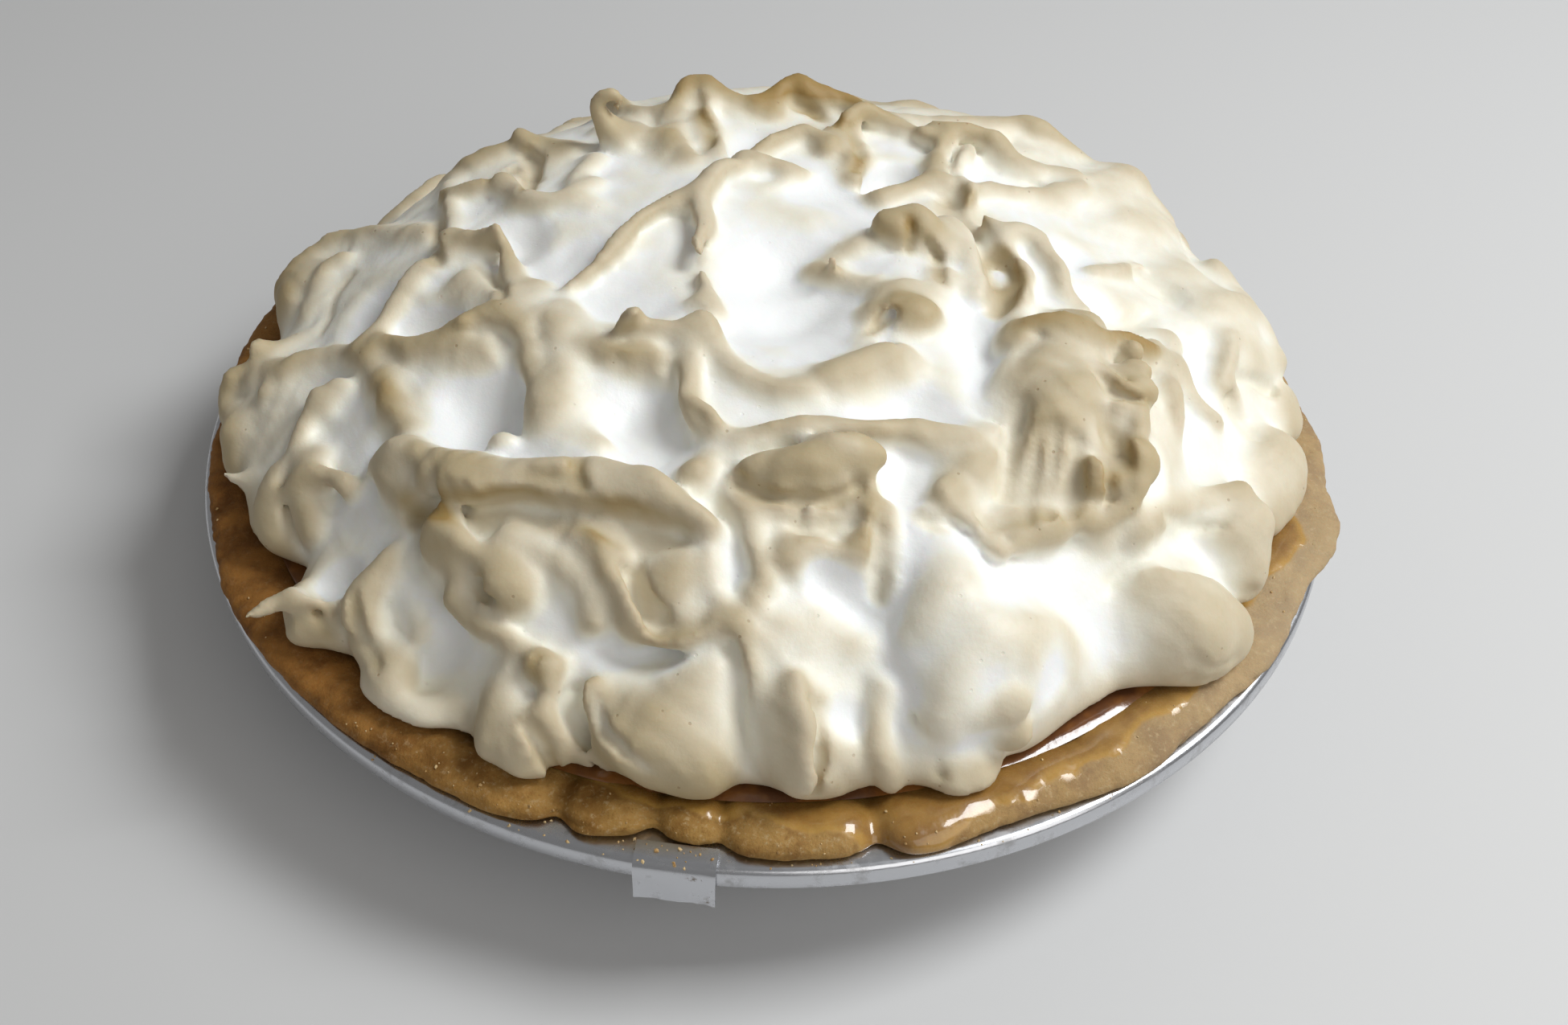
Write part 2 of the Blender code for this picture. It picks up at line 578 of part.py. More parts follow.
    ball((68.5, -56, 38.5), (5.5, 5, 5), soft=1.8),
    ball((70, -61.5, 28.5), (6, 6.5, 5), soft=1.8),
    ball((64, -64.5, 28), (5, 6, 5), soft=1.8),
    ball((36.5, -63.5, 35.5), (7, 6, 6), soft=1.8),
    ball((48, -68.5, 32.5), (10, 6, 6), soft=2),
    rope((29, -54.5, 42.5, 2), (34.5, -55, 42.5, 2.5), (40.5, -50.5, 41.5, 2), soft=5.6),
    ball((37.5, -58, 35.5), (8, 8, 8), soft=2.2),
    ball((89, -51.5, 17.5), (14, 8, 7), -10, soft=1.8),
    rope((76, -59.5, 30, 2), (85.5, -49.5, 25, 2), (94, -47, 23.5, 2), soft=4.0),
    ball((80.5, -58, 3.5), (15, 13, 17), soft=2.5),
    ball((75.5, -73.5, 6.5), (13, 11, 15), soft=2.5),
    rope(
        (32, -70.5, 34.5, 4), (32, -77, 28, 9), (34, -88.5, 23, 12.5), (36, -95, 17, 12.5),
        soft=2.2,
    ),
    ball((43, -102, 19.5), (7, 5, 5), soft=1.5),
    ball((46.5, -102.5, 14), (5, 4.5, 4), soft=1.5),
    ball((36.5, -103, 7), (10, 9, 7), -15, soft=1.5),
    ball((53, -92.5, 0.5), (7, 7, 6), 10, soft=1.5),
    # front middle
    rope(
        (-5, -58, 43.5, 2), (-0.5, -56, 45.5, 2), (6, -56, 46, 2), (12.5, -57.5, 45, 2),
        (18.5, -57, 44, 2), (24.5, -55, 44, 2), (31, -55, 43.5, 2), (35, -54.5, 42.5, 2), soft=3.8,
    ),
    scoop((25.5, -66, 43), (6, 8, 6), soft=2.5),
    ball((8, -65, 44), (13, 5, 5), 2, soft=0.8),
    rope(
        (16.5, -68.5, 41, 2), (20.5, -73, 39.5, 2), (21.5, -76, 37.5, 2.5), (18.5, -79, 36, 2.5),
        (14, -82.5, 35, 2), (9.5, -86, 33, 2), soft=3.8,
    ),
    rope(
        (-4.5, -66.5, 41.5, 1.5), (-2.5, -74, 38, 2), (0, -80, 36, 2), (0.5, -84.5, 34, 2),
        (-2, -88, 31, 2), (-6, -93, 28.5, 2), soft=4.2,
    ),
    ball((6.5, -69, 32), (15, 8, 13), soft=2.5),
    ball((8, -80, 35), (7, 6, 5), soft=2),
    scoop((15, -89, 36), (8, 7, 9), soft=2.5),
    ball((6, -91, 22), (18, 8, 8), soft=3),
    crease(
        (-7.5, -97, 27, 1.5), (-5, -102.5, 25, 2), (-1.5, -107, 20, 2), (0.5, -110.5, 13.5, 1.5),
        soft=1.6,
    ),
    rope(
        (-0.5, -93, 23, 5), (3, -97.5, 19.5, 7), (6.5, -104.5, 16.5, 7.5), (6.5, -108.5, 12.5, 6.5),
        soft=2.5,
    ),
    ball((16.5, -103, 6.5), (8, 8, 11), soft=1.8),
    rope(
        (22.5, -99, 22.5, 2), (21.5, -105, 18, 2), (23.5, -109.5, 12, 2), (24.5, -111, 5, 2),
        soft=3.6,
    ),
    # front left
    rope(
        (-75, -51, 27.5, 3.5), (-71, -51, 30, 5), (-63.5, -57, 33, 5), (-55, -63, 35.5, 5),
        (-44.5, -66.5, 38.5, 5), (-34.5, -68, 40, 4.5), (-24, -70.5, 39, 4.5), (-15, -72, 38.5, 4),
        (-10.5, -74.5, 37, 2.5), soft=2,
    ),
    rope((-71.5, -55, 28.5, 3), (-68.5, -61, 28.5, 3), (-66, -64, 26, 2.5), soft=4.7),
    crease(
        (-65, -66.5, 28, 2.5), (-57, -70, 32, 3), (-45.5, -74, 36, 3), (-36, -77, 38, 3),
        (-26.5, -77, 37, 3), (-19.5, -79, 37.5, 3),
    ),
    ball((-12, -63, 39.5), (5, 4.5, 4), soft=2),
    rope(
        (-59, -68, 34, 1.5), (-58.5, -70, 31.5, 3.5), (-58, -73, 28, 5), (-57, -75.5, 24, 6.5),
        (-53.5, -78.5, 23, 6.5), soft=1.8,
    ),
    crease((-63, -70.5, 25.5, 2), (-62, -76.5, 24, 2.5), (-60, -82, 21.5, 2.5), soft=1.8),
    ball((-46.5, -81, 26.5), (8, 7.5, 7), soft=1.6),
    ball((-55.5, -75, 20.5), (9, 8, 9), soft=2),
    rope(
        (-37, -95.5, 20, 2), (-36.5, -99.5, 16, 2), (-40, -106, 13, 2), (-43, -108.5, 8.5, 2),
        (-40, -108, 4, 2), soft=3.6,
    ),
    rope((-45.5, -93.5, 15.5, 2.5), (-46.5, -100, 14, 3), (-47, -104.5, 11, 2.5), soft=4.7),
    rope((-30.5, -76, 31, 5), (-27.5, -80.5, 29, 6.5), (-23.5, -85, 26, 6.5), soft=3),
    rope(
        (-36.5, -75.5, 34.5, 2), (-30.5, -77, 34.5, 2.5), (-27.5, -80.5, 34, 2.5),
        (-26, -85, 31.5, 2.5), (-22, -89.5, 28.5, 2.5), (-17, -93, 28.5, 2.5), (-12.5, -94, 29, 2),
        (-8.5, -91, 29, 2), soft=4.0,
    ),
    ball((-16.5, -81.5, 27), (9.5, 9, 8.5), soft=2),
    crease((-24.5, -82.5, 34.5, 2), (-23, -86.5, 31.5, 2), (-19, -90, 29.5, 2), soft=1.6),
    rope(
        (-46, -75.5, 31.5, 2.5), (-39.5, -79.5, 32, 2.5), (-34, -84, 30, 2.5), (-32, -89.5, 27, 2),
        soft=4.2,
    ),
    ball((-15, -101.5, 11.5), (16, 14, 12), soft=1.5),
    ball((-29, -100, 7), (7, 10, 8), 20, soft=1.5),
    crease((-32.5, -98, 16, 1.5), (-31, -103, 13.5, 2), (-28.5, -107.5, 7.5, 1.5), soft=1.5),
    # far left
    rope((-106, -30, 11.5, 4), (-100.5, -40.5, 9.5, 5), (-95, -51, 7.5, 5.5), soft=4),
    rope((-106.5, -40, 12.5, 2.5), (-110.5, -41, 13.5, 1), (-112.5, -40.5, 14.5, 0.5), soft=2),
    rope((-98, -43.5, 18, 4), (-97.5, -49, 15.5, 4.5), (-97, -53.5, 11, 4.5), soft=1.6),
    rope((-91, -45, 20, 4), (-90, -50, 18.5, 5), (-88.5, -54.5, 15.5, 4.5), soft=1.6),
    ball((-107, -23, 10.5), (11, 14, 7), -10, soft=2.5),
    crease((-101, -28.5, 23.5, 1.5), (-104, -33, 21.5, 2), (-106.5, -37, 18, 1.5), soft=2),
    rope(
        (-84.5, -72.5, 15.5, 5.5), (-89.5, -74.5, 15, 3.5), (-93.5, -75, 14.5, 2),
        (-98, -77, 13.5, 1), (-101, -80.5, 13.5, 0.5), soft=2.5,
    ),
    ball((-86, -73.5, 7.5), (9, 8, 8), -30, soft=1.8),
    ball((-74.5, -76.5, 5.5), (6, 8, 10), soft=2.5),
    rope(
        (-70.5, -73, 20.5, 3.5), (-74.5, -76, 19, 4), (-76, -79.5, 16.5, 4),
        (-74, -83.5, 11.5, 4.5), (-68, -90.5, 9.5, 4), soft=1.6,
    ),
    scoop((-85, -71, 19.5), (7, 6, 6), soft=2),
    rope(
        (-72, -90.5, 7.5, 2.5), (-65, -95, 8, 2.5), (-58.5, -96, 6.5, 2.5), (-52.5, -97, 5, 2.5),
        soft=4.7,
    ),
    # the far side
    ball((94.5, 40, 12.5), (8, 15, 10), 24, soft=3),
    ball((71, 66, 15.5), (9, 14, 9), 42, soft=3),
    ball((62, 82, 10), (8, 13, 9), 52, soft=2.5),
    ball((36, 88, 17), (9, 15, 12), 68, soft=3),
    ball((15.5, 104, 8), (8, 14, 8), 82, soft=2.5),
    ball((-15, 95, 16.5), (9, 16, 11), 100, soft=3),
    ball((-42.5, 97, 8), (8, 12, 8), 114, soft=2.5),
    ball((-64.5, 74.5, 13), (9, 15, 8), 130, soft=3),
    ball((-85, 58.5, 8), (8, 12, 9), 146, soft=2.5),
    scoop((97, 57.5, 17), (7, 9, 7), 31, soft=3),
    scoop((51.5, 82.5, 29.5), (7, 12, 7), 59, soft=3),
    scoop((-0.5, 91.5, 31.5), (7, 13, 7), 90, soft=3),
    scoop((12, 107.5, 16.5), (6, 7, 6), 84, soft=2.5),
    scoop((-41, 86, 28.5), (7, 9, 7), 116, soft=3),
    scoop((-55, 93.5, 11.5), (6, 7, 6), 121, soft=2.5),
    scoop((-87, 60.5, 20.5), (7, 9, 8), 146, soft=3),
    rope(
        (102, 37, 16, 3), (95, 54.5, 17, 3), (76.5, 70.5, 18, 3), (63.5, 82.5, 18, 3),
        (57.5, 90.5, 14.5, 2.5), soft=4,
    ),
    rope(
        (53.5, 83, 25, 3), (36, 89, 26, 3), (17, 97, 24.5, 3), (4.5, 102, 20.5, 3),
        (-3.5, 106.5, 15, 2.5), soft=4,
    ),
    rope(
        (-13, 98, 19.5, 3), (-30.5, 95.5, 21, 3), (-51, 87.5, 18.5, 3), (-68.5, 78.5, 17.5, 3),
        (-77.5, 75.5, 12.5, 2.5), soft=4,
    ),
    rope(
        (-82, 67.5, 10.5, 3), (-90, 56, 13, 3), (-98.5, 41.5, 10, 3), (-108.5, 29, 10.5, 2.5),
        soft=4,
    ),
    rope((78.5, 76.5, 8, 2), (72.5, 79, 17, 2.5), (60, 86.5, 20.5, 2.5), (47, 95.5, 16, 2), soft=3),
    rope((31, 104, 5.5, 2), (26, 105, 13, 2.5), (12, 108, 15.5, 2.5), (-4, 109, 12.5, 2), soft=3),
    rope(
        (-25.5, 107, 6.5, 2), (-29, 105, 15, 2.5), (-42, 98, 19, 2.5), (-59.5, 88.5, 13.5, 2),
        soft=3,
    ),
    rope((-81, 76, 5.5, 2), (-83, 73, 12, 2.5), (-89, 62, 16, 2.5), (-96, 50, 11.5, 2), soft=3),
    crease((84, 62.5, 27, 1.5), (78.5, 68.5, 22, 2), (86, 65.5, 16, 1.5), soft=2),
    crease((40, 88, 24.5, 1.5), (33, 96.5, 20.5, 2), (38, 98.5, 14.5, 1.5), soft=2),
    crease((-21, 88.5, 31, 1.5), (-27, 93.5, 25.5, 2), (-22, 103, 14.5, 1.5), soft=2),
    crease((-66, 64.5, 29.5, 1.5), (-76, 66.5, 21, 2), (-75.5, 76, 14.5, 1.5), soft=2),
    crease((46, 101.5, 4.5, 1.5), (44, 99, 12.5, 2), (47.5, 92, 19, 1.5), soft=2),
    crease((-13, 108.5, 3, 1.5), (-15, 106, 10.5, 2), (-8.5, 102.5, 17.5, 1.5), soft=2),
    crease((-72, 83, 3.5, 1.5), (-72.5, 80.5, 10.5, 2), (-65.5, 81.5, 17, 1.5), soft=2),
    crease((90, 64.5, 3, 1.5), (87.5, 66, 10, 2), (91.5, 61, 14.5, 1.5), soft=2),
    # fine grooves, cut last
    crease((49.5, -53, 44, 1.5), (50.5, -60, 40, 2), (49, -70.5, 38.5, 1.5), soft=1.4),
    crease((47, -46, 45.5, 2), (45, -54.5, 41, 2), (46, -63, 38.5, 2), soft=1.8),
    crease((63.5, -48, 45, 2), (65.5, -52.5, 42, 2.5), (66, -60, 41, 2), soft=1.5),
    crease((-18.5, 57, 49.5, 1.5), (-18, 47, 48, 2), (-16.5, 38, 47.5, 1.5), soft=1.5),
    crease((6, 62.5, 45, 1.5), (9.5, 59.5, 43.5, 2), (13.5, 47.5, 49.5, 1.5), soft=1.5),
    crease((-59.5, 46, 39.5, 1.5), (-55, 38, 38.5, 2), (-55, 28, 41, 1.5), soft=1.4),
    crease((-74.5, 29.5, 38.5, 1.5), (-74.5, 15.5, 38, 2), (-73, 1, 40.5, 1.5), soft=1.5),
]


def mound(x, y, z):
    """Distance, roughly, to the plain mound that the strokes start from."""
    lift = np.maximum(z - (MERINGUE_FOOT - RIM_HEIGHT), 0.0) / MOUND_HEIGHT
    reach = np.hypot(x, y) / MOUND_RADIUS
    level = reach**MOUND_SIDE_POWER + lift**MOUND_TOP_POWER - 1.0
    out = MOUND_SIDE_POWER * reach ** (MOUND_SIDE_POWER - 1.0) / MOUND_RADIUS
    up = MOUND_TOP_POWER * lift ** (MOUND_TOP_POWER - 1.0) / MOUND_HEIGHT
    return np.clip(level / np.maximum(np.hypot(out, up), 0.012), -25.0, 25.0)


def whipped(x, y, z):
    """The signed distance to the meringue's surface, after every stroke in turn."""
    field = mound(x, y, z)
    x, y, z = wobble(x, y, z)
    for stroke in STROKES:
        near = (x > stroke.low[0]) & (x < stroke.high[0])
        near &= (y > stroke.low[1]) & (y < stroke.high[1])
        near &= (z > stroke.low[2]) & (z < stroke.high[2])
        field[near] = stroke.work(field[near], x[near], y[near], z[near])
    return field


CROWN_SHARE = math.radians(142)
CORE_RADIUS = 80.0
CORE_HEIGHT = 14.0
MARCH = np.arange(0.0, 66.0, 1.0)
MERINGUE_FACES = 5200


def slid_out(points):
    """Points of a unit ball, moved out along rays until they meet the whipped surface."""
    polar = np.arccos(np.clip(points[:, 2], -1.0, 1.0))
    angle = np.arctan2(points[:, 1], points[:, 0])
    around = np.stack([np.cos(angle), np.sin(angle)], 1)
    full = math.sqrt(1.0 - math.cos(CROWN_SHARE))
    share = np.minimum(np.sqrt(1.0 - np.cos(polar)) / full, 1.0)
    foot = MERINGUE_FOOT - RIM_HEIGHT
    lean = np.radians(90.0) * share**2.2
    ray = np.column_stack([around * np.sin(lean)[:, None], np.cos(lean)])
    start = np.column_stack([around * (CORE_RADIUS * share)[:, None], foot + CORE_HEIGHT * (1 - share)])
    steps = (start[:, None, :] + MARCH[None, :, None] * ray[:, None, :]).reshape(-1, 3)
    field = whipped(*steps.T).reshape(len(points), len(MARCH))
    outside = field > 0
    outside[:, 0] = False
    first = np.argmax(outside, axis=1)
    rows = np.arange(len(points))
    before, after = field[rows, first - 1], field[rows, first]
    along = MARCH[first - 1] + np.clip(-before / (after - before), 0.0, 1.0)
    moved = start + along[:, None] * ray
    under = polar > CROWN_SHARE
    inwards = (math.pi - polar[under]) / (math.pi - CROWN_SHARE)
    moved[under, :2] *= inwards[:, None]
    return moved


def make_meringue(sugar):
    bm = bmesh.new()
    bmesh.ops.create_icosphere(bm, subdivisions=7, radius=1.0)
    foot = MERINGUE_FOOT - RIM_HEIGHT
    for vert, place in zip(bm.verts, slid_out(np.array([vert.co for vert in bm.verts]))):
        vert.co = place
    crown = [vert for vert in bm.verts if vert.co.z > foot + 0.5]
    for _ in range(2):
        bmesh.ops.smooth_vert(bm, verts=crown, factor=0.5, use_axis_x=True, use_axis_y=True, use_axis_z=True)
    for vert in bm.verts:
        vert.co.z = max(vert.co.z, foot) + RIM_HEIGHT
    fine = len(bm.faces)
    node = finish("meringue", bm, sugar, sharp_angle=80)
    thin = node.modifiers.new("fewer faces", "DECIMATE")
    thin.ratio = MERINGUE_FACES / fine
    return node


def main():
    for old in list(bpy.data.objects):
        bpy.data.objects.remove(old, do_unlink=True)
    metal = material("tin_metal", (0.62, 0.62, 0.63), 0.25, metallic=1.0)
    make_tin(metal)
    make_tab(metal)
    make_crust(material("baked_crust", (0.42, 0.22, 0.07), 0.75))
    make_filling(material("lemon_syrup", (0.45, 0.22, 0.04), 0.2))
    make_meringue(material("toasted_meringue", (0.80, 0.72, 0.55), 0.7))


main()
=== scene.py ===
# %% [markdown]
# # A lemon meringue pie in its own tin
#
# A whole pie is a stack of simple things: a pressed metal tin, a shell of shortcrust, a disc of
# lemon filling and a tall cap of meringue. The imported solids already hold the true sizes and
# places. This lesson gives each of them its fine surface and its finish, in the same frame.
# Lengths are worked out in millimetres, as a baker would measure them, and every mesh is turned
# into metres as it is finished.

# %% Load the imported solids
import math
import random

import bmesh
import bpy
import numpy as np
import openvdb
from mathutils import Euler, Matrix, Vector, noise
from mathutils.bvhtree import BVHTree


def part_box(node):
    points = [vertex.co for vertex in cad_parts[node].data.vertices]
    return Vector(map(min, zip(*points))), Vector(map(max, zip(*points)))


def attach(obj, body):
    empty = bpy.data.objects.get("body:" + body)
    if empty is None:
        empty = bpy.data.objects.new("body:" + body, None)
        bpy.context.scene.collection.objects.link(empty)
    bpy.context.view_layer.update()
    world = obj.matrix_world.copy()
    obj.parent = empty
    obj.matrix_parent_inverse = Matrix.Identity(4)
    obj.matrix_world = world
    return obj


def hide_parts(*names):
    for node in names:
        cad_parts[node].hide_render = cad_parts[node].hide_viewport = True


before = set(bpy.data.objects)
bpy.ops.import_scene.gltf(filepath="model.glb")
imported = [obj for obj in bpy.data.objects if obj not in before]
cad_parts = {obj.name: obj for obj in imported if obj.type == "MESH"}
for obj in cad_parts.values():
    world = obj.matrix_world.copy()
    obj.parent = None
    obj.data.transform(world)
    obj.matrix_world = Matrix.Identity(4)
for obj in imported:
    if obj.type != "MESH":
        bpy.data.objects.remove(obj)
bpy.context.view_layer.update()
print("packed solids:", ", ".join(sorted(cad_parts)))

# %% [markdown]
# The sizes that the pieces share come from the solids' boxes. The tin gives the height and the
# radius of its rim, and the filling gives the level on which the meringue sits.

# %% Sizes from the solids, in millimetres
MM = 0.001


def box_mm(node):
    """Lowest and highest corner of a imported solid, in millimetres."""
    low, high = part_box(node)
    return low / MM, high / MM


tin_low, tin_high = box_mm("pie_tin")
RIM_HEIGHT = tin_high.z
RIM_RADIUS = tin_high.x
FILLING_TOP = box_mm("lemon_filling")[1].z
MERINGUE_FOOT = box_mm("meringue")[0].z
tab_low, tab_high = box_mm("release_tab")
TAB_ANGLE = math.atan2((tab_low.y + tab_high.y) / 2, (tab_low.x + tab_high.x) / 2)
print(f"rim {RIM_RADIUS:.1f} mm out, {RIM_HEIGHT:.1f} mm up; meringue from {MERINGUE_FOOT:.1f} mm")

# %% [markdown]
# ## Two small helpers for meshes
#
# Nearly every piece here is made as a bmesh in millimetres. The first helper turns such a bmesh
# into a finished object: it scales it to metres, turns its faces outwards, shades it smooth,
# gives it its material, tells the frame which body it rides on and hides the solid it stands for.
# The second spins a profile about the upright axis, which is how a tin is pressed and how
# a crust is rolled into one.

# %% Finish and spin
def finish_piece(name, bm, material, stands_for=None, sharp_angle=40):
    """Makes a bmesh in millimetres into a finished object in metres."""
    bmesh.ops.scale(bm, vec=(MM, MM, MM), verts=bm.verts)
    bmesh.ops.recalc_face_normals(bm, faces=bm.faces)
    mesh = bpy.data.meshes.new(name)
    bm.to_mesh(mesh)
    bm.free()
    mesh.shade_smooth()
    mesh.set_sharp_from_angle(angle=math.radians(sharp_angle))
    mesh.materials.append(material)
    piece = bpy.data.objects.new(name, mesh)
    bpy.context.scene.collection.objects.link(piece)
    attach(piece, "root")
    if stands_for:
        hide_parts(stands_for)
    print(f"{name}: {len(mesh.polygons)} faces")
    return piece


def spun(profile, steps, shares=()):
    """A closed turned form; the profile of (radius, height) runs from the axis back to the axis.

    shares names further numbers of each profile point, which every turned copy keeps."""
    bm = bmesh.new()
    layers = [bm.verts.layers.float.new(name) for name in shares]
    points = []
    for radius, height, *values in profile:
        points.append(bm.verts.new((radius, 0.0, height)))
        for layer, value in zip(layers, values):
            points[-1][layer] = value
    edges = [bm.edges.new(pair) for pair in zip(points, points[1:])]
    bmesh.ops.spin(bm, geom=points + edges, cent=(0, 0, 0), axis=(0, 0, 1), angle=math.tau,
                   steps=steps, use_merge=True)
    bmesh.ops.remove_doubles(bm, verts=bm.verts, dist=0.001)
    return bm


# %% [markdown]
# ## Shader maths as plain Python
#
# A material is a recipe of nodes, and most of it is arithmetic on masks. Wiring Math nodes by
# hand hides that arithmetic, so a small class wraps a socket and lets Python's own + - * / add
# the nodes. Every other node comes from one method, which sets the node's settings first and
# its sockets after that.

# %% A material recipe
class Wire:
    """A socket that + - * / and the named steps below work on."""

    def __init__(self, recipe, socket):
        self.recipe = recipe
        self.socket = socket

    def math(self, operation, *values):
        return self.recipe.node("Math", {"operation": operation}, dict(enumerate(values)))

    def __add__(self, other):
        return self.math("ADD", self, other)

    def __sub__(self, other):
        return self.math("SUBTRACT", self, other)

    def __rsub__(self, other):
        return self.math("SUBTRACT", other, self)

    def __mul__(self, other):
        return self.math("MULTIPLY", self, other)

    def __truediv__(self, other):
        return self.math("DIVIDE", self, other)

    __radd__ = __add__
    __rmul__ = __mul__

    def between(self, low, high):
        """0 below low and 1 above high, with a soft step from one to the other."""
        sockets = {"Value": self, "From Min": low, "From Max": high}
        return self.recipe.node("MapRange", {"interpolation_type": "SMOOTHSTEP"}, sockets)


class Recipe:
    """One Principled material, made node by node."""

    def __init__(self, name, **constants):
        self.material = bpy.data.materials.new(name)
        self.material.use_nodes = True
        self.tree = self.material.node_tree
        self.shader = self.tree.nodes["Principled BSDF"]
        for socket, value in constants.items():
            self.shader.inputs[socket.replace("_", " ")].default_value = value

    def plug(self, socket, value):
        if isinstance(value, Wire):
            self.tree.links.new(value.socket, socket)
        else:
            socket.default_value = value

    def node(self, kind, settings=None, sockets=None, out=0):
        made = self.tree.nodes.new("ShaderNode" + kind)
        for name, value in (settings or {}).items():
            if name == "stops":
                self.set_stops(made.color_ramp, value)
            else:
                setattr(made, name, value)
        for name, value in (sockets or {}).items():
            self.plug(made.inputs[name], value)
        return Wire(self, made.outputs[out])

    def set_stops(self, ramp, stops):
        while len(ramp.elements) < len(stops):
            ramp.elements.new(1.0)
        for element, (position, color) in zip(ramp.elements, stops):
            element.position = position
            element.color = (*color, 1.0)

    def place(self):
        return self.node("TexCoord", out="Object")

    def noise(self, size_mm, detail=3.0, roughness=0.5, stretch=(1, 1, 1)):
        """A cloudy pattern, about 0 to 1, whose blobs are size_mm across."""
        moved = self.node("Mapping", {}, {"Vector": self.place(), "Scale": stretch})
        sockets = {"Vector": moved, "Scale": 1.0 / (size_mm * MM)}
        return self.node("TexNoise", {}, {**sockets, "Detail": detail, "Roughness": roughness})

    def mix(self, share, below, above):
        """Two colours mixed: below where share is 0, above where it is 1."""
        colors = [value if isinstance(value, Wire) else (*value, 1.0) for value in (below, above)]
        sockets = {0: share, 6: colors[0], 7: colors[1]}
        return self.node("Mix", {"data_type": "RGBA"}, sockets, out=2)

    def attribute(self, name):
        return self.node("Attribute", {"attribute_name": name}, out="Fac")

    def bump(self, height, depth_mm, strength=1.0):
        """Small relief: height 0 to 1 stands for depth_mm of real depth."""
        sockets = {"Height": height, "Distance": depth_mm * MM, "Strength": strength}
        return self.node("Bump", {}, sockets)

    def feed(self, **wires):
        for socket, value in wires.items():
            self.plug(self.shader.inputs[socket.replace("_", " ")], value)
        return self.material


# %% [markdown]
# ## The tin
#
# The tin is pressed from one thin sheet: a flat base, a flared wall, a flat rim and an edge that
# is turned down. A turned profile says all of that. Many more steps than the solid has make the
# bright edge run round without corners, and its bends are given small arcs.

# %% Tin plate
def make_tin_plate():
    recipe = Recipe("tin_plate", Metallic=1.0)
    ringed = recipe.noise(1.5, detail=4.0, stretch=(1.0, 1.0, 9.0))
    spots = recipe.noise(6.0, detail=5.0, roughness=0.7)
    dull = spots.between(0.52, 0.72)
    stain = recipe.noise(3.2, detail=4.0, roughness=0.7).between(0.66, 0.76)
    bright, worn, baked_on = (0.60, 0.61, 0.64), (0.46, 0.46, 0.47), (0.16, 0.10, 0.05)
    color = recipe.mix(stain * 0.7, recipe.mix(dull, bright, worn), baked_on)
    return recipe.feed(
        Base_Color=color,
        Roughness=0.20 + 0.16 * dull + 0.10 * ringed + 0.25 * stain,
        Normal=recipe.bump(ringed, 0.03, 0.4),
    )


tin_plate = make_tin_plate()
print("tin plate:", len(tin_plate.node_tree.nodes), "nodes")

# %% Spin the tin
SHEET = 0.8
BASE_RADIUS = 93.0
WALL_TOP_RADIUS = 113.0
LIP_DEPTH = 4.6
TIN_STEPS = 240


def wall_radius(height, inset):
    """Radius of the flared wall at a height, moved inwards by a wall thickness."""
    flare = (WALL_TOP_RADIUS - BASE_RADIUS) / RIM_HEIGHT
    return BASE_RADIUS + flare * height - inset * math.hypot(1.0, flare)


def bend(center, radius, start, end, steps=4):
    """Points on an arc of a profile, from one angle to another, in degrees."""
    angles = [math.radians(start + (end - start) * step / steps) for step in range(steps + 1)]
    return [(center[0] + radius * math.cos(a), center[1] + radius * math.sin(a)) for a in angles]


def tin_profile():
    rim, under = RIM_HEIGHT, RIM_HEIGHT - SHEET
    profile = [(0.0, 0.0)]
    profile += bend((BASE_RADIUS - 1.6, 1.6), 1.6, -90, -32)
    profile += [(wall_radius(under - 1.6, 0.0), under - 1.6), (WALL_TOP_RADIUS + 0.5, under - 0.4)]
    profile += [(WALL_TOP_RADIUS + 1.8, under)]
    profile += bend((RIM_RADIUS - SHEET - 0.9, under - 0.9), 0.9, 90, 0)
    profile += bend((RIM_RADIUS - SHEET / 2, RIM_HEIGHT - LIP_DEPTH + 0.4), 0.4, -180, 0)
    profile += bend((RIM_RADIUS - 1.5, rim - 1.5), 1.5, 0, 90)
    profile += [(WALL_TOP_RADIUS + 1.2, rim), (WALL_TOP_RADIUS, rim - 0.4)]
    profile += [(wall_radius(rim - 1.6, SHEET), rim - 1.6), (wall_radius(2.4, SHEET), 2.4)]
    profile += [(wall_radius(1.3, SHEET) - 0.6, 1.1), (BASE_RADIUS - 3.0, SHEET), (0.0, SHEET)]
    return profile


tin = finish_piece("tin_shell", spun(tin_profile(), TIN_STEPS), tin_plate, "pie_tin")

# %% [markdown]
# ## The release tab
#
# A thin strip of the same metal lies under the pie, and its end comes out over the rim at the
# front. Its path is drawn once from the side, pulled to its width in narrow strips, and
# then dented a little by noise, because thin tin that has been through an oven is never flat.

# %% Bend and dent the tab
TAB_WIDTH = 15.0
TAB_INSET = 4.6
GAP = 0.3
TAB_STRIPS = 14
FOLD_WIDTH = 2.0


def tab_path():
    top, out = RIM_HEIGHT + GAP, RIM_RADIUS + GAP
    fall = tab_low.z
    path = [(out - TAB_INSET, top)]
    path += bend((out - 1.6, top - 1.6), 1.6, 90, 0, steps=5)
    path += [(out, top - 4.0), (out, top - 6.5), (out, fall), (out + SHEET, fall)]
    path += [(out + SHEET, top - 6.5), (out + SHEET, top - 4.0)]
    path += bend((out - 1.6, top - 1.6), 1.6 + SHEET, 0, 90, steps=5)
    path += [(out - TAB_INSET, top + SHEET)]
    return path


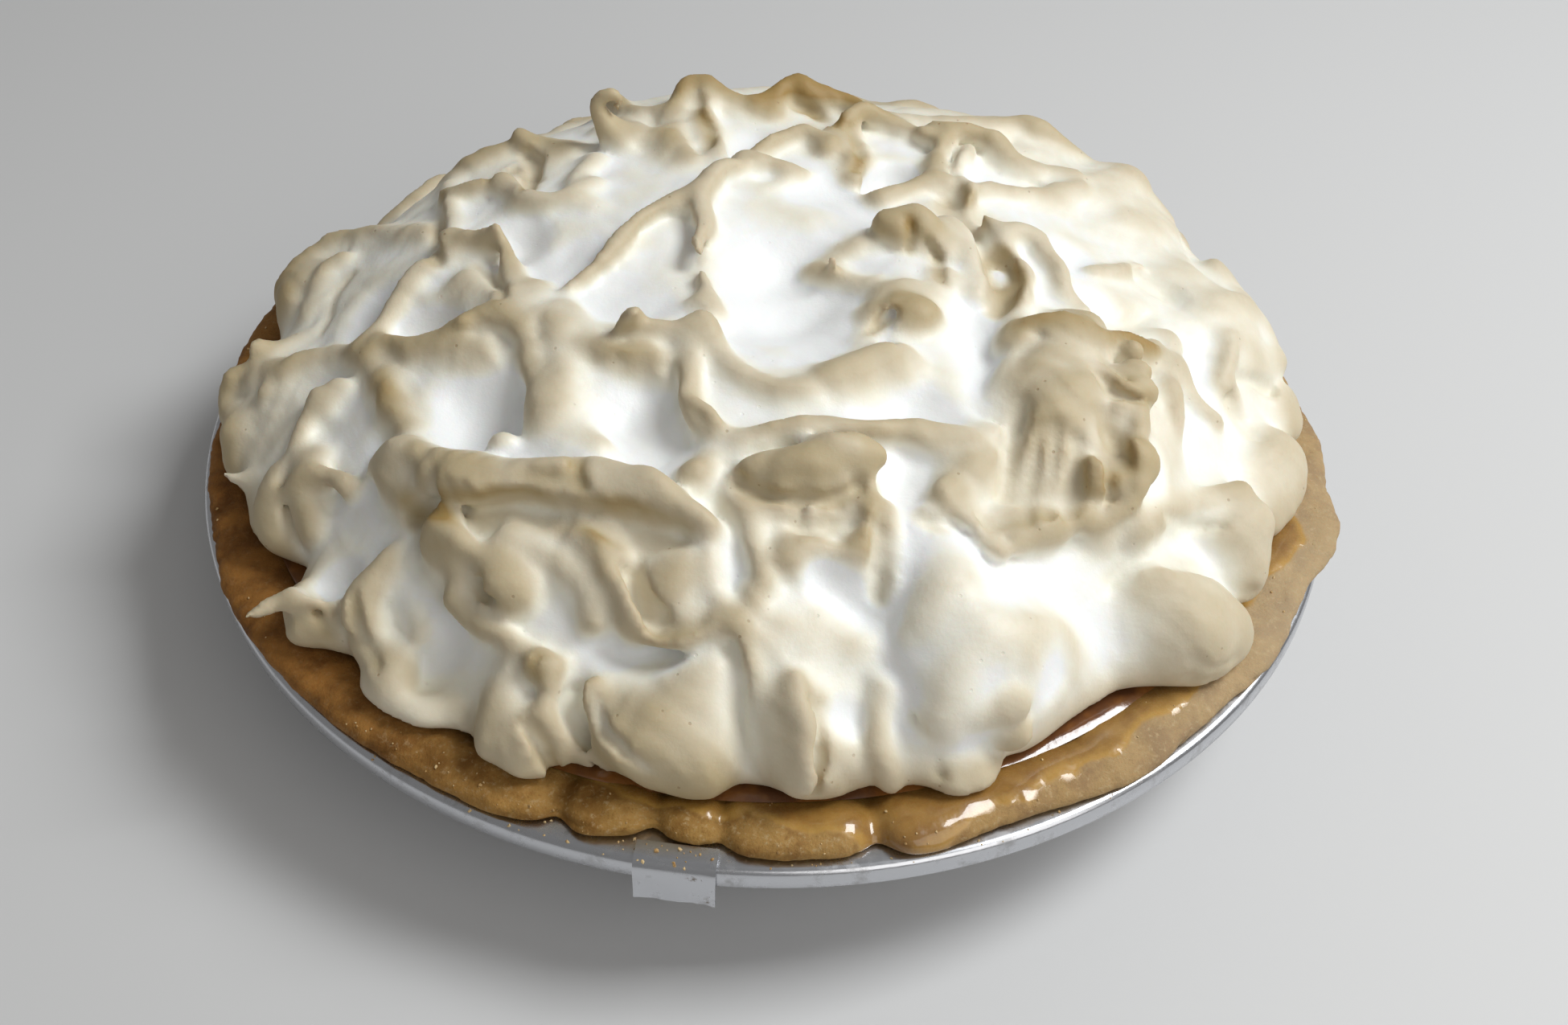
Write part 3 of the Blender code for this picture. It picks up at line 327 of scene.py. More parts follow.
def make_tab():
    bm = bmesh.new()
    side = bm.faces.new([bm.verts.new((radius, -TAB_WIDTH / 2, z)) for radius, z in tab_path()])
    for _ in range(TAB_STRIPS):
        pulled = bmesh.ops.extrude_face_region(bm, geom=[side])["geom"]
        moved = [item for item in pulled if isinstance(item, bmesh.types.BMVert)]
        bmesh.ops.translate(bm, vec=(0, TAB_WIDTH / TAB_STRIPS, 0), verts=moved)
        side = next(item for item in pulled if isinstance(item, bmesh.types.BMFace))
    for vert in bm.verts:
        hang = max(0.0, RIM_HEIGHT - vert.co.z) / (RIM_HEIGHT - tab_low.z)
        folded = vert.co.y > TAB_WIDTH / 2 - FOLD_WIDTH
        vert.co.x += hang * (0.25 * noise.noise(vert.co / 4.0) - 0.2 + (0.15 if folded else 0.0))
        vert.co.z += 0.5 * hang * noise.noise(vert.co / 2.2)
    turn = Euler((0, 0, TAB_ANGLE)).to_matrix()
    bmesh.ops.rotate(bm, cent=(0, 0, 0), matrix=turn, verts=bm.verts)
    bmesh.ops.recalc_face_normals(bm, faces=bm.faces)
    return bm


tab = finish_piece("tab_strip", make_tab(), tin_plate, "release_tab", sharp_angle=50)

# %% [markdown]
# ## The crust
#
# Shortcrust is rolled out, laid in the tin and pressed over its rim by hand, so its edge is
# uneven: it bulges over the tin in one place, falls short in another, and splits where two
# strips of dough meet. The solid has the same outline with few steps. Here the profile's corners
# are rounded by cutting them off again and again, the shell is spun in small steps, and each
# point is then pushed out or in by the bulges, the cracks and a grain of crumbs.

# %% Where the dough bulges and cracks
CRUST_THICKNESS = 4.6
CRUST_TOP = RIM_HEIGHT + 4.6
CRUST_EDGE_RADIUS = 122.6
CRUST_STEPS = 760
# (angle in degrees, width in degrees, reach in mm)
CRUST_BULGES = [
    (-16, 7, 5.8),
    (-4, 6, 2.2),
    (-34, 9, 1.4),
    (-56, 9, 1.2),
    (-75, 6, 1.6),
    (-96, 6, -2.6),
    (-122, 11, 2.0),
    (-150, 16, 2.2),
    (170, 18, 1.6),
    (120, 20, 1.4),
    (60, 16, 1.2),
    (25, 9, 2.0),
]
# (angle, width, depth in mm)
CRUST_CRACKS = [(-107.5, 1.6, 2.6), (-99.0, 1.4, 2.2), (-93.0, 1.4, 1.4), (-79.5, 1.8, 2.8)]
# (how many round the rim, size in mm, start)
CRUST_RIPPLES = [(7, 0.5, 0.35), (13, 0.35, 1.9), (19, 0.3, 0.8)]


def hill(angle, middle, width):
    """A smooth hill of height 1 round the rim, at an angle in degrees and that many wide."""
    away = (math.degrees(angle) - middle + 180.0) % 360.0 - 180.0
    return math.exp(-((away / width) ** 2))


def total(angle, hills):
    return sum(size * hill(angle, middle, width) for middle, width, size in hills)


def crust_edge(angle):
    ripples = sum(size * math.sin(count * angle + start) for count, size, start in CRUST_RIPPLES)
    return CRUST_EDGE_RADIUS + total(angle, CRUST_BULGES) - total(angle, CRUST_CRACKS) + ripples


def crust_sag(angle):
    waves = sum(size * math.sin((count + 4) * angle + start) for count, size, start in CRUST_RIPPLES)
    return 0.5 * total(angle, CRUST_CRACKS) + 0.5 + 0.4 * waves


# %% [markdown]
# Lemon syrup has boiled out from under the meringue and run over the crust's inner edge. It is
# part of the crust's own surface, so it is kept as a number on each point, its thickness, which
# smooths the crumbs below it and which the material turns into colour and gloss.

# %% Where the syrup ran
SYRUP_START_RADIUS = 109.5
SYRUP_FADE = 3.0
# (angle in degrees, width in degrees, reach in mm beyond the start radius)
SYRUP_FLOWS = [
    (-98, 10, 7.0),
    (-84, 6, 9.0),
    (-76, 5, 14.0),
    (-67, 6, 11.0),
    (-57, 6, 9.5),
    (-46, 7, 9.0),
    (-32, 7, 6.0),
    (-20, 7, 11.0),
    (-6, 8, 9.0),
    (12, 10, 6.0),
    (60, 18, 6.0),
    (110, 20, 5.0),
    (158, 16, 4.0),
    (-128, 12, 2.0),
]


def syrup_thickness(place, angle):
    """0 where the crust is dry, and 1 where the syrup hides its grain."""
    wander = 2.2 * noise.noise(place / 7.0) + 0.8 * noise.noise(place / 2.4)
    edge = SYRUP_START_RADIUS + total(angle, SYRUP_FLOWS) + wander
    return min(max((edge - math.hypot(place.x, place.y)) / SYRUP_FADE, 0.0), 1.0)


# One side of the rim is painted browner, partly real browning and partly painted shade on the side away
# from the lamp,
# and the side opposite is painted paler, as painted light:
# (angle, width, share painted browner, or paler where it is below 0)
CRUST_SHADE_AND_BROWNING = [(-168, 40, 1.0), (-132, 16, 0.4), (95, 20, 0.4), (-27, 40, -1.0)]


# %% Crumbly relief of the dough
LUMP_SIZE, LUMP_DEPTH = 6.5, 0.55
DENT_SIZE, DENT_DEPTH = 2.6, 0.28
GRAIN_SIZE, GRAIN_DEPTH = 0.9, 0.13
SPLIT_SIZE, SPLIT_DEPTH, SPLIT_WIDTH = 8.0, 0.45, 0.035


def dough_relief(place, angle, syrup):
    """How far a point of the crust's surface stands out, in millimetres."""
    relief = LUMP_DEPTH * noise.noise(place / LUMP_SIZE)
    rough = DENT_DEPTH * noise.noise(place / DENT_SIZE) + GRAIN_DEPTH * noise.noise(place / GRAIN_SIZE)
    split = math.exp(-((noise.noise(place / SPLIT_SIZE + Vector((7, 3, 5))) / SPLIT_WIDTH) ** 2))
    crack = sum(hill(angle, middle, 0.45 * width) for middle, width, _ in CRUST_CRACKS)
    dry = 1.0 - 0.8 * syrup
    return relief + dry * (rough - SPLIT_DEPTH * split) - 0.9 * min(crack, 1.0) + 0.35 * syrup


# %% Spin and press the crust
def corners_cut(profile, times):
    """A profile with every corner but its ends cut off, again and again, which rounds it."""
    for _ in range(times):
        cut = [profile[0]]
        for a, b in zip(profile, profile[1:]):
            cut.append(tuple(0.75 * x + 0.25 * y for x, y in zip(a, b)))
            cut.append(tuple(0.25 * x + 0.75 * y for x, y in zip(a, b)))
        profile = cut + [profile[-1]]
    return profile


def crust_profile():
    """(radius, height, share of the edge's bulge, share of the rim's sag) along the shell."""
    rim = RIM_HEIGHT + GAP
    gap = SHEET + GAP
    inside = gap + CRUST_THICKNESS
    edge = CRUST_EDGE_RADIUS
    hidden_outside = [
        (0.0, gap, 0.0, 0.0),
        (BASE_RADIUS - 3.2, gap, 0.0, 0.0),
        (wall_radius(RIM_HEIGHT - 1.2, gap), RIM_HEIGHT - 1.2, 0.0, 0.0),
        (WALL_TOP_RADIUS + 0.6, rim, 0.0, 0.0),
    ]
    shown = [
        (edge - 3.4, rim, 0.8, 0.0),
        (edge - 0.6, rim, 1.0, 0.0),
        (edge + 0.2, rim + 1.4, 1.0, 0.3),
        (edge - 0.8, rim + 3.6, 1.0, 0.7),
        (edge - 4.2, CRUST_TOP + 0.5, 0.6, 1.0),
        (edge - 8.4, CRUST_TOP, 0.2, 0.6),
        (wall_radius(RIM_HEIGHT, inside) + 1.6, RIM_HEIGHT + 1.6, 0.0, 0.0),
    ]
    hidden_inside = [
        (wall_radius(RIM_HEIGHT - 2.0, inside), RIM_HEIGHT - 2.0, 0.0, 0.0),
        (wall_radius(8.0, inside), gap + CRUST_THICKNESS + 2.0, 0.0, 0.0),
        (BASE_RADIUS - 10.0, gap + CRUST_THICKNESS, 0.0, 0.0),
        (0.0, gap + CRUST_THICKNESS, 0.0, 0.0),
    ]
    return hidden_outside + corners_cut(shown, 3)[::2] + hidden_inside


def make_crust():
    bm = spun(crust_profile(), CRUST_STEPS, shares=("bulge", "sag"))
    bulge, sag = (bm.verts.layers.float[name] for name in ("bulge", "sag"))
    for vert in bm.verts:
        radius = math.hypot(vert.co.x, vert.co.y)
        angle = math.atan2(vert.co.y, vert.co.x)
        if vert[bulge]:
            grown = 1.0 + vert[bulge] * (crust_edge(angle) - CRUST_EDGE_RADIUS) / radius
            vert.co.x *= grown
            vert.co.y *= grown
        vert.co.z -= vert[sag] * crust_sag(angle)
    bmesh.ops.recalc_face_normals(bm, faces=bm.faces)
    bm.normal_update()
    syrup_layer = bm.verts.layers.float.new("syrup")
    shade_and_bake_layer = bm.verts.layers.float.new("bake")
    pushed = []
    for vert in bm.verts:
        angle = math.atan2(vert.co.y, vert.co.x)
        syrup = syrup_thickness(vert.co, angle)
        vert[syrup_layer] = syrup
        vert[shade_and_bake_layer] = min(total(angle, CRUST_SHADE_AND_BROWNING), 1.0)
        above = min(max((vert.co.z - RIM_HEIGHT - GAP) / 1.2, 0.0), 1.0)
        pushed.append(vert.co + vert.normal * above * dough_relief(vert.co, angle, syrup))
    for vert, place in zip(bm.verts, pushed):
        vert.co = place
        vert.co.z = max(place.z, min(place.z, RIM_HEIGHT + GAP))
    return bm


# %% Baked dough and its syrup
def make_baked_dough():
    recipe = Recipe("baked_dough", Specular_IOR_Level=0.25, Coat_Roughness=0.06,
                    Subsurface_Weight=0.08, Subsurface_Scale=0.0015)
    tone = recipe.noise(9.0, detail=4.0, roughness=0.6)
    speck = recipe.noise(1.3, detail=4.0, roughness=0.7)
    grain = recipe.noise(0.5, detail=3.0, roughness=0.6)
    pale, golden, brown = (0.48, 0.34, 0.17), (0.36, 0.205, 0.055), (0.22, 0.105, 0.02)
    color = recipe.mix(tone.between(0.42, 0.66), golden, brown)
    color = recipe.mix(speck.between(0.52, 0.70) * 0.7, color, pale)
    color = recipe.mix(speck.between(0.46, 0.32) * 0.6, color, brown)
    # The rim's side mark paints the side away from the lamp copper and umber, partly real browning and
    # partly painted shade, and the lit side a paler straw, which is painted light.
    bake = recipe.attribute("bake")
    copper, umber, straw = (0.29, 0.115, 0.02), (0.14, 0.05, 0.008), (0.46, 0.38, 0.26)
    color = recipe.mix(bake * 0.85, color, recipe.mix(tone.between(0.35, 0.65), copper, umber))
    color = recipe.mix(bake * -0.55, color, straw)
    syrup = recipe.attribute("syrup")
    thick = (syrup * 0.55 + tone * 0.7 - 0.25).between(0.30, 0.85)
    amber, treacle = (0.44, 0.25, 0.055), (0.20, 0.090, 0.018)
    wet = syrup.between(0.12, 0.45)
    color = recipe.mix(wet * 0.85, color, recipe.mix(thick, amber, treacle))
    ripple = recipe.noise(2.2, detail=2.0)
    height = (1.0 - wet) * (0.6 * grain + 0.4 * speck) + wet * ripple * 0.5
    return recipe.feed(
        Base_Color=color,
        Roughness=0.72 - 0.50 * wet + 0.1 * grain,
        Coat_Weight=wet * 0.9,
        Normal=recipe.bump(height, 0.35, 0.8),
    )


baked_dough = make_baked_dough()
crust = finish_piece("crust_shell", make_crust(), baked_dough, "crust", sharp_angle=75)

# %% [markdown]
# ## The filling
#
# Only a narrow ring of the filling shows between the crust and the meringue's foot. It is a wet
# jelly that climbs a little where it touches both of them, coloured a dark brown that is partly
# thick syrup and partly painted shade in that narrow gap. A disc is spun with a raised edge,
# and its top is rippled by noise.

# %% Set lemon filling
FILLING_RADIUS = 113.0
FILLING_STEPS = 300
RIPPLE_SIZE, RIPPLE_DEPTH = 5.0, 0.35


def make_filling():
    gap = SHEET + 2 * GAP + CRUST_THICKNESS
    profile = [
        (0.0, gap),
        (BASE_RADIUS - 10.6, gap),
        (wall_radius(8.4, gap), gap + 2.4),
        (wall_radius(RIM_HEIGHT - 2.0, gap), RIM_HEIGHT - 2.0),
        (wall_radius(RIM_HEIGHT, gap) + 1.2, RIM_HEIGHT + 2.1),
        (FILLING_RADIUS - 0.8, FILLING_TOP - 0.6),
        (FILLING_RADIUS - 2.0, FILLING_TOP - 0.1),
    ]
    rings = (110.0, 108.5, 107.0, 105.5, 104.0, 102.0, 98.0, 0.0)
    profile += [(radius, FILLING_TOP) for radius in rings]
    bm = spun(profile, FILLING_STEPS)
    for vert in bm.verts:
        if vert.co.z > FILLING_TOP - 1.0:
            vert.co.z -= RIPPLE_DEPTH * (0.5 + 0.5 * noise.noise(vert.co / RIPPLE_SIZE))
    return bm


def make_wet_shaded_filling():
    recipe = Recipe("wet_shaded_filling", Roughness=0.16, Coat_Weight=0.8, Coat_Roughness=0.05)
    depth = recipe.noise(7.0, detail=3.0)
    # dark browns: partly the syrup's colour, partly painted shade of the gap under the meringue
    color = recipe.mix(depth.between(0.35, 0.7), (0.11, 0.040, 0.014), (0.25, 0.095, 0.020))
    return recipe.feed(Base_Color=color, Normal=recipe.bump(recipe.noise(2.5), 0.25, 0.6))


wet_shaded_filling = make_wet_shaded_filling()
filling = finish_piece("filling_disc", make_filling(), wet_shaded_filling, "lemon_filling")

# %% [markdown]
# ## The meringue
#
# Meringue is spooned on and pulled about: every form on it is a heap, a ridge or a hollow that
# a spoon left. Curled tips and overhangs rule out a simple sheet of points pushed up and down,
# so the shape is worked as a field of distances instead. Each point of a fine grid knows how
# far it is from the surface. A stroke that adds takes the nearer of two surfaces, a stroke that
# scoops takes the farther one, and where the two meet the change is blended over a few
# millimetres, which gives the soft webs between the ridges. Each stroke also carries how far
# the oven browned it and, in grooves and under overhangs, how much painted shade darkens it,
# so the colour follows the form.

# %% Tools for the spoon
MOUND_RADIUS = 109.5
MOUND_HEIGHT = 43.0
MOUND_SIDE_POWER = 2.6
MOUND_TOP_POWER = 1.6
MOUND_TOAST = 0.4
FOOT = MERINGUE_FOOT - RIM_HEIGHT


class Stroke:
    """One movement of the spoon: it adds meringue, or with adds=False takes it away."""

    def __init__(self, adds, soft, low, high, distance, toast):
        self.adds = adds
        self.soft = soft
        self.low = np.asarray(low, float) - soft - 4.0
        self.high = np.asarray(high, float) + soft + 4.0
        self.distance = distance
        self.toast = toast

    def work(self, field, toast, x, y, z):
        """The field and how brown and how shaded it is painted after this stroke, at points x, y, z."""
        sign = 1.0 if self.adds else -1.0
        old, new = sign * field, self.distance(x, y, z)
        share = np.clip(0.5 + 0.5 * (old - new) / self.soft, 0.0, 1.0)
        joined = old * (1.0 - share) + new * share - self.soft * share * (1.0 - share)
        return sign * joined, toast * (1.0 - share) + self.toast * share


def ball(at, size, turn=0.0, pitch=0.0, soft=3.0, adds=True, toast=0.7):
    """An egg-shaped heap: at is its middle and size its three half lengths."""
    middle = np.array(at, float)
    half = np.array(size, float)
    axes = np.array(Euler((0, -math.radians(pitch), math.radians(turn))).to_matrix()).T

    def distance(x, y, z):
        dx, dy, dz = x - middle[0], y - middle[1], z - middle[2]
        near, far = 0.0, 0.0
        for row, length in zip(axes, half):
            along = (row[0] * dx + row[1] * dy + row[2] * dz) / length
            near = near + along * along
            far = far + (along / length) ** 2
        near = np.sqrt(near)
        return near * (near - 1.0) / np.maximum(np.sqrt(far), 1e-4)

    reach = half.max()
    return Stroke(adds, soft, middle - reach, middle + reach, distance, toast)


def scoop(at, size, turn=0.0, pitch=0.0, soft=3.0, toast=0.0):
    """An egg-shaped hollow."""
    return ball(at, size, turn, pitch, soft, adds=False, toast=toast)


def smooth_route(points, between=3):
    """A rounded curve through points (x, y, z, thickness)."""
    points = np.array(points, float)
    padded = np.vstack([2 * points[0] - points[1], points, 2 * points[-1] - points[-2]])
    route = []
    for a, b, c, d in zip(padded, padded[1:], padded[2:], padded[3:]):
        for t in np.arange(between) / between:
            curve = (2 * a - 5 * b + 4 * c - d) * t * t + (3 * b - a - 3 * c + d) * t**3
            route.append(0.5 * (2 * b + (c - a) * t + curve))
    return np.array(route + [points[-1]])


def rope(*points, soft=3.8, adds=True, toast=0.8):
    """A rounded ridge along a curve; each point is x, y, z and the ridge's thickness there."""
    route = smooth_route(points)

    def distance(x, y, z):
        best = 1e9
        for a, b in zip(route, route[1:]):
            ab = b[:3] - a[:3]
            dx, dy, dz = x - a[0], y - a[1], z - a[2]
            t = np.clip((dx * ab[0] + dy * ab[1] + dz * ab[2]) / max(ab @ ab, 1e-6), 0.0, 1.0)
            away = (dx - t * ab[0]) ** 2 + (dy - t * ab[1]) ** 2 + (dz - t * ab[2]) ** 2
            best = np.minimum(best, np.sqrt(away) - (a[3] + t * (b[3] - a[3])))
        return best

    thick = route[:, 3].max()
    low = route[:, :3].min(axis=0) - thick
    high = route[:, :3].max(axis=0) + thick
    return Stroke(adds, soft, low, high, distance, toast)


def crease(*points, soft=1.2, toast=1.0):
    """A rounded groove along a curve."""
    return rope(*points, soft=soft, adds=False, toast=toast)


def wobble(x, y, z):
    """Moves places a little, so that no form is quite regular."""
    return (
        x + 1.1 * np.sin(y / 8.0 + z / 9.0 + 0.4) + 0.7 * np.sin(y / 3.3 - x / 7.0 + 2.0),
        y + 1.1 * np.sin(x / 8.5 - z / 8.0 + 1.7) + 0.7 * np.sin(x / 3.6 + y / 6.0 + 4.1),
        z + 0.9 * np.sin(x / 7.0 + y / 9.0 + 2.6) + 0.5 * np.sin(x / 3.9 - y / 3.1),
    )


def rumple(x, y, z):
    """Soft folds left by the spoon, about -1 to 1."""
    a = np.sin(x / 2.6 + 1.4 * np.sin(y / 4.1 + 0.6) + z / 4.0)
    b = np.sin(y / 2.9 + 1.3 * np.sin(x / 3.7 + z / 5.0) - 0.7)
    c = np.sin((x + y) / 1.9 + 1.6 * np.sin((x - y) / 3.3))
    return 0.45 * a * b + 0.35 * (1.0 - 2.0 * np.abs(np.sin(0.5 * (a + 1.7 * b)))) + 0.2 * c * b


def mound(x, y, z):
    """Distance to the plain heap that the spoon works on: round below, domed above."""
    lift = np.maximum(z - FOOT, 0.0) / MOUND_HEIGHT
    reach = np.hypot(x, y) / MOUND_RADIUS
    level = reach**MOUND_SIDE_POWER + lift**MOUND_TOP_POWER - 1.0
    out = MOUND_SIDE_POWER * reach ** (MOUND_SIDE_POWER - 1.0) / MOUND_RADIUS
    up = MOUND_TOP_POWER * lift ** (MOUND_TOP_POWER - 1.0) / MOUND_HEIGHT
    return np.clip(level / np.maximum(np.hypot(out, up), 0.012), -25.0, 25.0)
